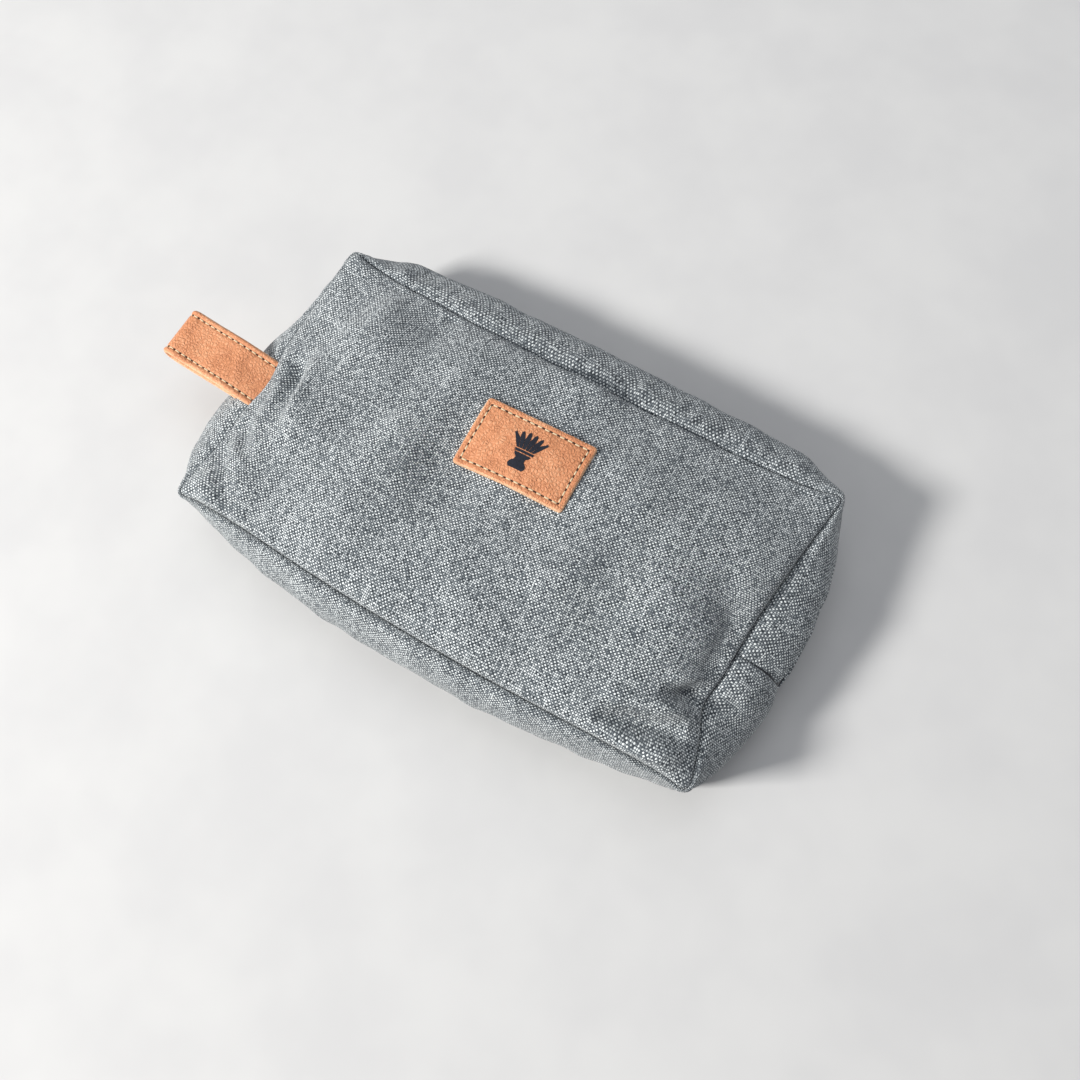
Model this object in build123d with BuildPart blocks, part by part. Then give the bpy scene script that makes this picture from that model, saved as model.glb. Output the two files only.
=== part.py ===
from build123d import *
import os

# Zipped toiletry bag, lying on its back, half full, in millimetres.
# +X runs along the bag to its right end, +Y to the zipped mouth, +Z out of the front panel.
# The origin is the middle of the back panel's outer face, which rests on the table.

# Outline of the fullest line of the bag, half way up its sides
girth_length = 284
girth_width = 167
girth_corner = 30

# Soft sides: an arc that starts and ends at the panel seams
seam_height = 40
side_bulge = 15
body_height = 52
crown_length = 196
crown_width = 84

# Cloth, lining and bias tape
wall = 1.6
lining = 0.8
ply_gap = 0.3
binding_width = 8
binding_thickness = 1.6
seam_angle = 70
bottom_seam_y = -12

# Zipper
mouth_half = 72
mouth_clearance = 0.5
strip_edge_angle = 16
tape_thickness = 0.6
tape_edge_angle = 45
tape_chain_angle = 10
chain_half_width = 3
chain_slit = 1.4
chain_depth = 2.6
chain_inset = 3.4
tooth_pitch = 2
tooth_length = 1.4
tooth_root = 1
slider_length = 11
slider_half_width = 4.4
slider_x = 98
slider_plate = 1.2
slider_clearance = 0.3
lip_width = 1
neck_thickness = 0.8
neck_length = 4
lip_reach = 1.3
bail_reach = 2.9
bail_bar = 0.8
arm_length = 1.2
arm_spread = 1.6
arm_thickness = 1
pull_length = 24
pull_width = 7
pull_thickness = 1.2
pull_pin_radius = 0.45

# Carrying loop of turned-edge leather
loop_width = 25
loop_y = -6
loop_thickness = 2.2
loop_root_x = -130.4
loop_end_x = -173.8
loop_top = 45.2
loop_root_radius = 2.3
loop_end_radius = 6
loop_split = 6.5

# Leather patch
patch_length = 53
patch_width = 33
patch_thickness = 1.8
patch_x = 1.3
patch_y = 15.7
patch_turn = 1.7
stitch_length = 2.4
stitch_width = 0.8
stitch_height = 0.35
stitch_pitch = 3.6
stitch_inset = 3
emblem_thickness = 0.2

# Worked out from the above
girth_height = seam_height / 2
girth_half_length = girth_length / 2
girth_half_width = girth_width / 2
bulge_radius = (girth_height**2 + side_bulge**2) / (2 * side_bulge)
panel_length = girth_length - 2 * side_bulge
panel_width = girth_width - 2 * side_bulge
panel_corner = girth_corner - side_bulge
tape_inset = wall + ply_gap
lining_inset = tape_inset + tape_thickness + ply_gap
lining_edge_angle = 20
crown_height = body_height - seam_height


def band(low, high, inset, thickness):
    """Face of a curved ply of the side's section, between two angles above the widest line."""
    centre = (-bulge_radius, girth_height)
    outer = bulge_radius - inset
    with BuildSketch() as face:
        with BuildLine():
            outside = CenterArc(centre, outer, low, high - low)
            inside = CenterArc(centre, outer - thickness, low, high - low)
            Line(outside @ 0, inside @ 0)
            Line(outside @ 1, inside @ 1)
        make_face()
    return face.sketch


def tooth_row(side):
    """Face of one side's tooth row (side is +1 for the front row, -1 for the back row)."""
    low = chain_slit / 2
    with BuildSketch() as face:
        with Locations((-chain_inset + chain_depth / 2, girth_height + side * (low + chain_half_width) / 2)):
            Rectangle(chain_depth, chain_half_width - low)
    return face.sketch


def section_plane(origin, forward, outward):
    """Plane across a stretch of the side: local x points out of the bag and local y up."""
    return Plane(origin=origin, x_dir=outward, z_dir=forward)


def mouth_start():
    """Section plane at the left end of the part of the mouth that opens."""
    return section_plane((-mouth_half, girth_half_width, 0), (1, 0, 0), (0, 1, 0))


def end_start(side):
    """Section plane where the right (+1) end stretch leaves the mouth, or the left (-1) one its seam."""
    if side > 0:
        return section_plane((mouth_half + mouth_clearance, girth_half_width, 0), (1, 0, 0), (0, 1, 0))
    return section_plane((-girth_half_length, bottom_seam_y, 0), (0, 1, 0), (-1, 0, 0))


def end_route(side):
    """Route round an upper corner, between the mouth and the bottom gusset's seam, going clockwise."""
    points = [
        (side * (mouth_half + mouth_clearance), girth_half_width),
        (side * girth_half_length, girth_half_width),
        (side * girth_half_length, bottom_seam_y),
    ]
    with BuildLine() as route:
        FilletPolyline(*points[::side], radius=girth_corner)
    return route.line


def bottom_route():
    """Route of the bottom gusset, from one end's seam round the bottom to the other's."""
    with BuildLine() as route:
        FilletPolyline(
            (girth_half_length, bottom_seam_y),
            (girth_half_length, -girth_half_width),
            (-girth_half_length, -girth_half_width),
            (-girth_half_length, bottom_seam_y),
            radius=girth_corner,
        )
    return route.line


def bottom_start():
    """Section plane at the right end of the bottom gusset."""
    return section_plane((girth_half_length, bottom_seam_y, 0), (0, -1, 0), (1, 0, 0))


def crown(inset):
    """Sections of a pillow top on the front seam line, pulled in by inset on its sides and top."""
    levels = [
        (0, panel_length, panel_width, panel_corner),
        (0.54, panel_length - 14, panel_width - 14, panel_corner + 3),
        (1, crown_length, crown_width, panel_corner + 8),
    ]
    sections = []
    for share, length, width, corner in levels:
        with BuildSketch(Plane.XY.offset(seam_height + share * (crown_height - inset))) as section:
            RectangleRounded(length - 2 * inset, width - 2 * inset, corner - inset)
        sections.append(section.sketch)
    return sections


def finish(builder, label):
    """Label a piece and write it."""
    builder.part.label = label
    export_step(builder.part, f"parts/{label}.step")


os.makedirs("parts", exist_ok=True)

# Panels
with BuildPart() as back_panel:
    with BuildSketch():
        RectangleRounded(panel_length, panel_width, panel_corner)
    extrude(amount=wall)
finish(back_panel, "back_panel")

with BuildPart() as front_panel:
    loft(crown(0))
    loft(crown(wall), mode=Mode.SUBTRACT)
finish(front_panel, "front_panel")

with BuildPart() as lining_front:
    loft(crown(wall + ply_gap))
    loft(crown(wall + ply_gap + lining), mode=Mode.SUBTRACT)
finish(lining_front, "lining_front")

with BuildPart() as lining_back:
    with BuildSketch(Plane.XY.offset(wall + ply_gap)):
        RectangleRounded(panel_length - 4 * wall, panel_width - 4 * wall, panel_corner - 2 * wall)
    extrude(amount=lining)
finish(lining_back, "lining_back")

# Bottom gusset: one strip round the bottom and the lower half of both ends
for label, edge, inset, thickness in [
    ("bottom_gusset", seam_angle, 0, wall),
    ("lining_bottom", seam_angle - 2, lining_inset, lining),
]:
    with BuildPart() as ply:
        with BuildSketch(bottom_start()):
            add(band(-edge, edge, inset, thickness))
        sweep(path=bottom_route())
    finish(ply, label)

# Seam bindings: bias tape folded over the seam allowances inside the bag
binding_inset = wall + ply_gap
for label, height in [
    ("seam_binding_front", seam_height - binding_thickness),
    ("seam_binding_back", wall + ply_gap + lining),
]:
    with BuildPart() as binding:
        with BuildSketch(Plane.XY.offset(height)):
            outer = 2 * binding_inset
            inner = 2 * (binding_inset + binding_width)
            RectangleRounded(panel_length - outer, panel_width - outer, panel_corner - binding_inset)
            RectangleRounded(
                panel_length - inner,
                panel_width - inner,
                panel_corner - binding_width,
                mode=Mode.SUBTRACT,
            )
        extrude(amount=binding_thickness)
    finish(binding, label)

# Zip strips, tapes and lining: the fixed stretches round both upper corners
for side, end in [(-1, "left"), (1, "right")]:
    for edge, low, high in [
        ("front", strip_edge_angle, seam_angle),
        ("back", -seam_angle, -strip_edge_angle),
    ]:
        with BuildPart() as strip:
            with BuildSketch(end_start(side)):
                add(band(low, high, 0, wall))
            sweep(path=end_route(side))
        finish(strip, f"zip_strip_{edge}_{end}")

    with BuildPart() as tape:
        with BuildSketch(end_start(side)):
            add(band(tape_chain_angle, tape_edge_angle, tape_inset, tape_thickness))
            add(band(-tape_edge_angle, -tape_chain_angle, tape_inset, tape_thickness))
        sweep(path=end_route(side))
    finish(tape, f"zip_tape_{end}")

    with BuildPart() as teeth:
        with BuildSketch(end_start(side)):
            add(tooth_row(1))
            add(tooth_row(-1))
        sweep(path=end_route(side))
    finish(teeth, f"zip_teeth_{end}")

    with BuildPart() as end_lining:
        with BuildSketch(end_start(side)):
            add(band(lining_edge_angle, seam_angle - 2, lining_inset, lining))
            add(band(2 - seam_angle, -lining_edge_angle, lining_inset, lining))
        sweep(path=end_route(side))
    finish(end_lining, f"lining_end_{end}")

# Zip strips, tapes, teeth and lining of the mouth, which swing apart when it opens
mouth_length = 2 * mouth_half
for edge, side in [("front", 1), ("back", -1)]:
    for label, near, far, inset, thickness in [
        (f"zip_strip_{edge}", strip_edge_angle, seam_angle, 0, wall),
        (f"zip_tape_{edge}", tape_chain_angle, tape_edge_angle, tape_inset, tape_thickness),
        (f"lining_strip_{edge}", lining_edge_angle, seam_angle - 2, lining_inset, lining),
    ]:
        with BuildPart() as ply:
            with BuildSketch(mouth_start()):
                add(band(min(side * near, side * far), max(side * near, side * far), inset, thickness))
            extrude(amount=mouth_length)
        finish(ply, label)

    with BuildPart() as row:
        with BuildSketch(mouth_start()):
            add(tooth_row(side))
        extrude(amount=mouth_length)
        slit_side = girth_height + side * (chain_slit / 2 + chain_half_width - tooth_root) / 2
        with BuildSketch(Plane.XZ.offset(-girth_half_width)):
            with Locations((0, slit_side)):
                with GridLocations(tooth_pitch, 1, int(mouth_length / tooth_pitch), 1):
                    Rectangle(tooth_pitch - tooth_length, chain_half_width - tooth_root - chain_slit / 2)
        extrude(amount=2 * chain_depth, both=True, mode=Mode.SUBTRACT)
    finish(row, f"zip_teeth_{edge}")

# Slider: two plates joined by a neck between the tooth rows, with lips over the tapes and a bail
plate_inner = girth_half_width - chain_inset - slider_clearance
plate_outer = girth_half_width - chain_inset + chain_depth + slider_clearance
bail_base = plate_outer + slider_plate
bail_length = slider_length - 3
with BuildPart() as zip_slider:
    for base in [plate_outer, plate_inner - slider_plate]:
        with BuildSketch(Plane.XZ.offset(-base)):
            with Locations((slider_x, girth_height)):
                RectangleRounded(slider_length, 2 * slider_half_width, 2.5)
        extrude(amount=-slider_plate)
    with BuildSketch(Plane.XZ.offset(-plate_outer)):
        with Locations((slider_x, girth_height)):
            with GridLocations(1, 2 * slider_half_width - lip_width, 1, 2):
                Rectangle(slider_length - 5, lip_width)
    extrude(amount=lip_reach)
    with BuildSketch(Plane.XZ.offset(-plate_inner)):
        with Locations((slider_x, girth_height)):
            Rectangle(neck_length, neck_thickness)
    extrude(amount=plate_inner - plate_outer)
    with BuildSketch(Plane.XY.offset(girth_height)):
        with Locations((slider_x, bail_base + bail_reach / 2)):
            RectangleRounded(bail_length, bail_reach, 0.6)
            Rectangle(bail_length - 2 * bail_bar, bail_reach - 2 * bail_bar, mode=Mode.SUBTRACT)
    extrude(amount=bail_bar, both=True)
finish(zip_slider, "zip_slider")

# Pull: a tab on two arms and a pin through the bail
pin_y = bail_base + bail_reach / 2
tab_length = pull_length - bail_length / 2 - arm_length
with BuildPart() as zip_pull:
    with BuildSketch(Plane.XY.offset(girth_height)):
        with Locations((slider_x, pin_y)):
            Circle(pull_pin_radius)
    extrude(amount=arm_spread + arm_thickness, both=True)
    with BuildSketch(Plane.XZ.offset(-pin_y)):
        with Locations((slider_x - bail_length / 2 - arm_length / 2, girth_height)):
            with GridLocations(1, 2 * arm_spread + arm_thickness, 1, 2):
                Rectangle(bail_length + arm_length, arm_thickness)
        with Locations((slider_x - pull_length + tab_length / 2, girth_height)):
            RectangleRounded(tab_length, pull_width, 2)
    extrude(amount=pull_thickness / 2, both=True)
finish(zip_pull, "zip_pull")

# Carrying loop: a strap folded back on itself, both ends sewn into the left front seam
root_z = loop_top - loop_root_radius
end_z = loop_top - loop_end_radius
with BuildPart() as grab_loop:
    with BuildSketch(Plane.XZ.offset(-loop_y)):
        with Locations((loop_root_x, root_z)):
            Circle(loop_root_radius)
        with Locations((loop_end_x, end_z)):
            Circle(loop_end_radius)
        make_hull()
        with BuildSketch(mode=Mode.PRIVATE) as finger_gap:
            with Locations((loop_root_x - loop_split, root_z)):
                Circle(loop_root_radius - loop_thickness)
            with Locations((loop_end_x, end_z)):
                Circle(loop_end_radius - loop_thickness)
            make_hull()
        add(finger_gap.sketch, mode=Mode.SUBTRACT)
    extrude(amount=loop_width / 2, both=True)
finish(grab_loop, "grab_loop")

loop_stitches = int((loop_root_x - loop_end_x) / stitch_pitch) + 1
with BuildPart() as loop_stitching:
    with BuildSketch(Plane.XY.offset(loop_top)):
        with Locations(((loop_root_x + loop_end_x) / 2, loop_y)):
            with GridLocations(stitch_pitch, loop_width - 2 * stitch_inset, loop_stitches, 2):
                SlotOverall(stitch_length, stitch_width)
    extrude(amount=stitch_height)
finish(loop_stitching, "loop_stitching")

# Patch: a leather label sewn round its edge, with a printed shaving-brush sign
patch_plane = Plane(origin=(patch_x, patch_y, body_height)).rotated((0, 0, patch_turn))
with BuildPart() as patch:
    with BuildSketch(patch_plane):
        RectangleRounded(patch_length, patch_width, 1.5)
    extrude(amount=patch_thickness)
    fillet(patch.edges().group_by(Axis.Z)[-1], 0.5)
finish(patch, "patch")

seam_x = patch_length - 2 * stitch_inset
seam_y = patch_width - 2 * stitch_inset
with BuildPart() as patch_stitching:
    with BuildSketch(patch_plane.offset(patch_thickness)):
        with GridLocations(stitch_pitch, seam_y, int(seam_x / stitch_pitch), 2):
            SlotOverall(stitch_length, stitch_width)
        with GridLocations(seam_x, stitch_pitch, 2, int(seam_y / stitch_pitch)):
            SlotOverall(stitch_length, stitch_width, rotation=90)
    extrude(amount=stitch_height)
finish(patch_stitching, "patch_stitching")

with BuildPart() as patch_emblem:
    with BuildSketch(patch_plane.offset(patch_thickness)):
        with Locations((0, 3.6)):
            Ellipse(3.6, 4.8)
        with Locations((0, -4.4)):
            Ellipse(3, 3.4)
        with Locations((0, -8)):
            RectangleRounded(7, 1.6, 0.7)
        with Locations((0, -0.6)):
            Rectangle(6, 0.6, mode=Mode.SUBTRACT)
    extrude(amount=emblem_thickness)
finish(patch_emblem, "patch_emblem")
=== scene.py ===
"""A half-full canvas toiletry bag lying on its back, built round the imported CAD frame. Metres."""

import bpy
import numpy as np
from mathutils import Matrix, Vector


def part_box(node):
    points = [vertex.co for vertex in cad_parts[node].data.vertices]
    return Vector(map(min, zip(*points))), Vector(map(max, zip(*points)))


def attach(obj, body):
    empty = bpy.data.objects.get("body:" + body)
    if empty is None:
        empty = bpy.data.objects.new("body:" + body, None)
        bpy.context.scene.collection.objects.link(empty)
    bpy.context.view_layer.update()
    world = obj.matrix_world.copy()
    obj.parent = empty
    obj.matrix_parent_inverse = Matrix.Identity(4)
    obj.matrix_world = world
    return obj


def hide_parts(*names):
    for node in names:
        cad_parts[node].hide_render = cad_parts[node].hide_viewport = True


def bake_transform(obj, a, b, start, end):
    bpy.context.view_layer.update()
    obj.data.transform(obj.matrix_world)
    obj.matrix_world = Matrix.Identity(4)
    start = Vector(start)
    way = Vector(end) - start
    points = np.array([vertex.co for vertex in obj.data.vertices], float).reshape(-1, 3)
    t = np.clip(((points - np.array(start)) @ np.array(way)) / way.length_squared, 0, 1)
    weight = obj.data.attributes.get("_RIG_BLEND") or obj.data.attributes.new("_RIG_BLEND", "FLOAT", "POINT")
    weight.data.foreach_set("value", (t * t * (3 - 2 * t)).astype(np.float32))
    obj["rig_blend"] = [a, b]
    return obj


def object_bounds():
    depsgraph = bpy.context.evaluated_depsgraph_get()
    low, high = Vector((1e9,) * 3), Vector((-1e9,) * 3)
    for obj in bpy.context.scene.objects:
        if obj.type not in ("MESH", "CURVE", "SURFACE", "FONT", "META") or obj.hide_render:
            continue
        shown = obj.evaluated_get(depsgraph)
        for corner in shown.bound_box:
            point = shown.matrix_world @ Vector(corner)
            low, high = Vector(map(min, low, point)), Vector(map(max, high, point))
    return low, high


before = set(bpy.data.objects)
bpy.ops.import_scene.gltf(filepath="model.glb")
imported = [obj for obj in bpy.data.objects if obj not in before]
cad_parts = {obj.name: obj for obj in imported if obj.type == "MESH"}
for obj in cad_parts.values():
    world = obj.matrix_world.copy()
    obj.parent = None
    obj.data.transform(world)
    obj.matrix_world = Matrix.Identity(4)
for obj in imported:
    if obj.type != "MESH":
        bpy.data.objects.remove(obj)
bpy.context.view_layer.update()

import math

import bmesh
import bpy
import numpy as np
from mathutils import Matrix, Vector
from mathutils.bvhtree import BVHTree

MM = 0.001
rng = np.random.default_rng(7)

# ---------------------------------------------------------------- places read from the frame
PANEL_X, PANEL_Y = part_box("back_panel")[1].xy
SEAM_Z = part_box("front_panel")[0].z
CROWN_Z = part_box("patch")[0].z
GIRTH_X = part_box("bottom_gusset")[1].x
GIRTH_Y = -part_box("bottom_gusset")[0].y
TEETH_LOW, TEETH_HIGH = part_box("zip_teeth_front")
MOUTH_X = TEETH_HIGH.x
CHAIN_Y = (TEETH_LOW.y + TEETH_HIGH.y) / 2
CHAIN_Z = (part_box("zip_teeth_back")[0].z + TEETH_HIGH.z) / 2
CHAIN_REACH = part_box("zip_slider")[1].x
SEAM_CUT_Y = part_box("bottom_gusset")[1].y

# ---------------------------------------------------------------- the bag's flat pattern
CORNER = 4.5 * MM          # radius of the panels' corners
DEPTH = 58 * MM            # width of the gusset from the front seam to the back seam
CELLS_X, CELLS_Y, CELLS_Z = 60, 32, 14
ZIP_OPENING = 11 * MM      # bare tape between the folded edges of the two strips
BACK_Z = 0.6 * MM
CANVAS_THICK = 0.9 * MM

# ---------------------------------------------------------------- the cloth simulation
PRESSURE = 1.4
HOLD_PANEL = 0.02          # how firmly the designed shape holds the front panel
HOLD_SEAM = 0.03
HOLD_EAR = 0.5             # the stiff sewn corners stay where they are
MASS = 0.1
PIN_STIFFNESS = 1.0
BEND = 2.5
SETTLING_FRAMES = 30


def add_object(name, data):
    """A new object of the scene that shows a mesh, a light or a camera."""
    made = bpy.data.objects.new(name, data)
    bpy.context.scene.collection.objects.link(made)
    return made


def to_rounded(x, y):
    """Moves points of a rectangle onto the panel's outline with round corners."""
    inner_x, inner_y = PANEL_X - CORNER, PANEL_Y - CORNER
    p = np.clip((np.abs(x) - inner_x) / CORNER, 0, 1)
    q = np.clip((np.abs(y) - inner_y) / CORNER, 0, 1)
    in_corner = (p > 0) & (q > 0)
    px = np.where(in_corner, p * np.sqrt(1 - q**2 / 2), p)
    qy = np.where(in_corner, q * np.sqrt(1 - p**2 / 2), q)
    new_x = np.where(p > 0, np.sign(x) * (inner_x + CORNER * px), x)
    new_y = np.where(q > 0, np.sign(y) * (inner_y + CORNER * qy), y)
    return new_x, new_y


def edge_distance(x, y):
    """Distance from the panel's outline, positive inside it."""
    qx = np.abs(x) - (PANEL_X - CORNER)
    qy = np.abs(y) - (PANEL_Y - CORNER)
    outside = np.hypot(np.maximum(qx, 0), np.maximum(qy, 0))
    return CORNER - outside - np.minimum(np.maximum(qx, qy), 0)


def rim_walk():
    """Grid indices round a panel's rim, counter-clockwise from its lower left corner."""
    nx, ny = CELLS_X, CELLS_Y
    walk = [(i, 0) for i in range(nx)] + [(nx, j) for j in range(ny)]
    return walk + [(i, ny) for i in range(nx, 0, -1)] + [(0, j) for j in range(ny, 0, -1)]


RIM = rim_walk()
GRID_X, GRID_Y = np.meshgrid(
    np.linspace(-PANEL_X, PANEL_X, CELLS_X + 1), np.linspace(-PANEL_Y, PANEL_Y, CELLS_Y + 1), indexing="ij"
)
FLAT_X, FLAT_Y = to_rounded(GRID_X, GRID_Y)
RIM_I = np.array([i for i, j in RIM])
RIM_J = np.array([j for i, j in RIM])
RIM_FLAT = np.stack([FLAT_X[RIM_I, RIM_J], FLAT_Y[RIM_I, RIM_J]], -1)
RIM_LENGTHS = np.concatenate([[0], np.cumsum(np.linalg.norm(np.roll(RIM_FLAT, -1, 0) - RIM_FLAT, axis=1))])
RIM_COUNT = np.arange(len(RIM) + 1)


def lens(u, power=2.6):
    """1 in the middle of a side and 0 at both its ends."""
    return 1 - np.abs(u) ** power


def bump(distance, width):
    """1 at no distance, falling away smoothly over the width."""
    return np.exp(-((distance / width) ** 2))


def step_up(value, low, high):
    """Smooth rise from 0 at low to 1 at high."""
    t = np.clip((value - low) / (high - low), 0, 1)
    return t * t * (3 - 2 * t)


def left_end(x):
    return step_up(-x, 0.74 * PANEL_X, PANEL_X)


def right_end(x):
    return step_up(x, 0.8 * PANEL_X, PANEL_X)


def sideways(x):
    """How far the half-full bag's front has slid towards its bottom, least at the corners."""
    return -5.5 * MM * (1 - (x / PANEL_X) ** 2)


def end_pull(x, y):
    """How far the loop and the slack at both ends draw the front panel's ends in, along x."""
    loop = 3.4 * MM * bump(y + 8 * MM, 14 * MM)
    below = 2.2 * MM * bump(y + 38 * MM, 14 * MM)
    above = 2.5 * MM * bump(y - 34 * MM, 20 * MM)
    reach = np.where(y > -22 * MM, 92 * MM, 47 * MM)
    slack = 8.5 * MM * np.clip(1 - ((y + 22 * MM) / reach) ** 2, 0, 1) ** 1.3
    slack = slack + 2.5 * MM * bump(y + 37 * MM, 9 * MM)
    return left_end(x) * (loop + below - above) - right_end(x) * slack


def front_seam_height(x, y):
    """Height of the front seam: lower towards both ends, and lowest where the cloth sags."""
    u, v = x / PANEL_X, y / PANEL_Y
    sag = 3.5 * MM * left_end(x) * bump(y - 32 * MM, 17 * MM)
    sag = sag + 3 * MM * right_end(x) * bump(y + 38 * MM, 13 * MM)
    return SEAM_Z + 2 * MM - 3.5 * MM * np.abs(u) ** 3.2 - 0.5 * MM * np.abs(v) ** 6 - sag


def ears(x, y):
    """The sewn corners stand out stiffly: how far, along x and along y."""
    share = (x / PANEL_X) ** 10 * (y / PANEL_Y) ** 10
    return np.where(x < 0, -3.0 * MM, 1.0 * MM) * share, np.sign(y) * 4.0 * MM * share


def crown_height(x, y):
    """Half-full pillow over the seam line."""
    u, v = np.clip(np.abs(x) / PANEL_X, 0, 1), np.clip(np.abs(y) / PANEL_Y, 0, 1)
    rise = (1 - u**3.4) * (1 - v**2.8)
    return front_seam_height(x, y) + (CROWN_Z - SEAM_Z - 1 * MM) * rise**0.62


def start_shape():
    """Where the cloth starts: the designed pillow, as (front grid, back grid, gusset rows)."""
    ear_x, ear_y = ears(FLAT_X, FLAT_Y)
    front_x = FLAT_X + end_pull(FLAT_X, FLAT_Y) + ear_x
    front = np.stack([front_x, FLAT_Y + ear_y + sideways(FLAT_X), crown_height(FLAT_X, FLAT_Y)], -1)
    back = np.stack([FLAT_X, FLAT_Y, np.full_like(FLAT_X, BACK_Z)], -1)
    rim_x, rim_y = RIM_FLAT.T
    u, v = rim_x / PANEL_X, rim_y / PANEL_Y
    top = front_seam_height(rim_x, rim_y)
    out_x = np.where(RIM_I == CELLS_X, 1.0, np.where(RIM_I == 0, -1.0, 0.0))
    out_y = np.where(RIM_J == CELLS_Y, 1.0, np.where(RIM_J == 0, -1.0, 0.0))
    reach_top = (CHAIN_Y - PANEL_Y) * np.minimum((PANEL_X - np.abs(rim_x)) / (PANEL_X - CHAIN_REACH), 1)
    reach_bottom = (GIRTH_Y - PANEL_Y) * lens(u + 0.1 * (1 - u**2))
    shift = np.where(out_x < 0, 0.38, 0.0) * (1 - v**2)
    reach_side = (GIRTH_X - PANEL_X + np.where(out_x < 0, 3, 2) * MM) * lens(v + shift, 2.8)
    reach = np.where(out_y > 0, reach_top, np.where(out_y < 0, reach_bottom, 0)) * np.abs(out_y)
    rows = []
    overhang = 2.0 * MM + 4.0 * MM * lens((rim_x - 18 * MM) / (PANEL_X + 18 * MM), 3)
    overhang = overhang - 0.75 * sideways(rim_x)
    pull_x = end_pull(rim_x, rim_y) + ear_x[RIM_I, RIM_J]
    pull_y = ear_y[RIM_I, RIM_J] + sideways(rim_x)
    for k in range(CELLS_Z + 1):
        t = k / CELLS_Z
        swell = np.sin(math.pi * t) ** 0.8
        lip = max(math.sin(2 * math.pi * t), 0)
        x = rim_x + out_x * reach_side * swell + pull_x * (1 - t) ** 2
        y = rim_y + out_y * reach * swell + np.where(out_y > 0, overhang, 0) * lip + pull_y * (1 - t) ** 2
        z = top + (BACK_Z - top) * (t - 0.06 * np.sin(2 * math.pi * t))
        zipped = top * (1 - t) * (1 - 2 * t) + 4 * t * (1 - t) * CHAIN_Z + BACK_Z * t * (2 * t - 1)
        rows.append(np.stack([x, y, np.where(out_y > 0, zipped, z)], -1))
    return front, back, np.array(rows)


def cut_shape():
    """The flat pattern sewn up into a square-sided box: every cloth length is the real one."""
    front = np.stack([FLAT_X, FLAT_Y, np.full_like(FLAT_X, DEPTH)], -1)
    back = np.stack([FLAT_X, FLAT_Y, np.zeros_like(FLAT_X)], -1)
    rim = front[RIM_I, RIM_J]
    rows = [rim - np.array([0, 0, DEPTH * k / CELLS_Z]) for k in range(CELLS_Z + 1)]
    return front, back, np.array(rows)


def shell_vertices(front, back, rows):
    """One list of points: front grid, back grid, then the gusset rows between the two rims."""
    return np.concatenate([front.reshape(-1, 3), back.reshape(-1, 3), rows[1:-1].reshape(-1, 3)])


def shell_faces():
    """Quads of the front, the back and the gusset that joins them."""
    nx, ny, nz, rim = CELLS_X, CELLS_Y, CELLS_Z, len(RIM)
    panel = (nx + 1) * (ny + 1)

    def at(i, j):
        return i * (ny + 1) + j

    faces = [(at(i, j), at(i + 1, j), at(i + 1, j + 1), at(i, j + 1)) for i in range(nx) for j in range(ny)]
    faces += [tuple(panel + n for n in reversed(face)) for face in faces]

    def on_gusset(k, n):
        i, j = RIM[n % rim]
        if k == 0:
            return at(i, j)
        if k == nz:
            return panel + at(i, j)
        return 2 * panel + (k - 1) * rim + n % rim

    for k in range(nz):
        for n in range(rim):
            corners = ((k, n), (k + 1, n), (k + 1, n + 1), (k, n + 1))
            faces.append(tuple(on_gusset(*corner) for corner in corners))
    return faces


def hold_weights():
    """How firmly each point is held where it starts: zipper and back panel firmly, the rest softly."""
    front = np.full(FLAT_X.shape, HOLD_PANEL)
    distance = edge_distance(FLAT_X, FLAT_Y)
    front[distance < 1 * MM] = HOLD_SEAM
    corners = (np.abs(FLAT_X) > PANEL_X - 7 * MM) & (np.abs(FLAT_Y) > PANEL_Y - 7 * MM)
    slack = FLAT_X > PANEL_X - 1 * MM
    front[(corners | slack | (FLAT_X < 1 * MM - PANEL_X)) & (distance < 1 * MM)] = HOLD_EAR
    back = np.where(distance > 14 * MM, 1.0, np.where(distance > 6 * MM, HOLD_SEAM, 0))
    rows = np.zeros((CELLS_Z + 1, len(RIM)))
    zipped = (RIM_J == CELLS_Y) & (np.abs(RIM_FLAT[:, 0]) < CHAIN_REACH + 2 * MM)
    rows[CELLS_Z // 2, zipped] = 1.0
    return np.concatenate([front.ravel(), back.ravel(), rows[1:-1].ravel()])


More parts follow.
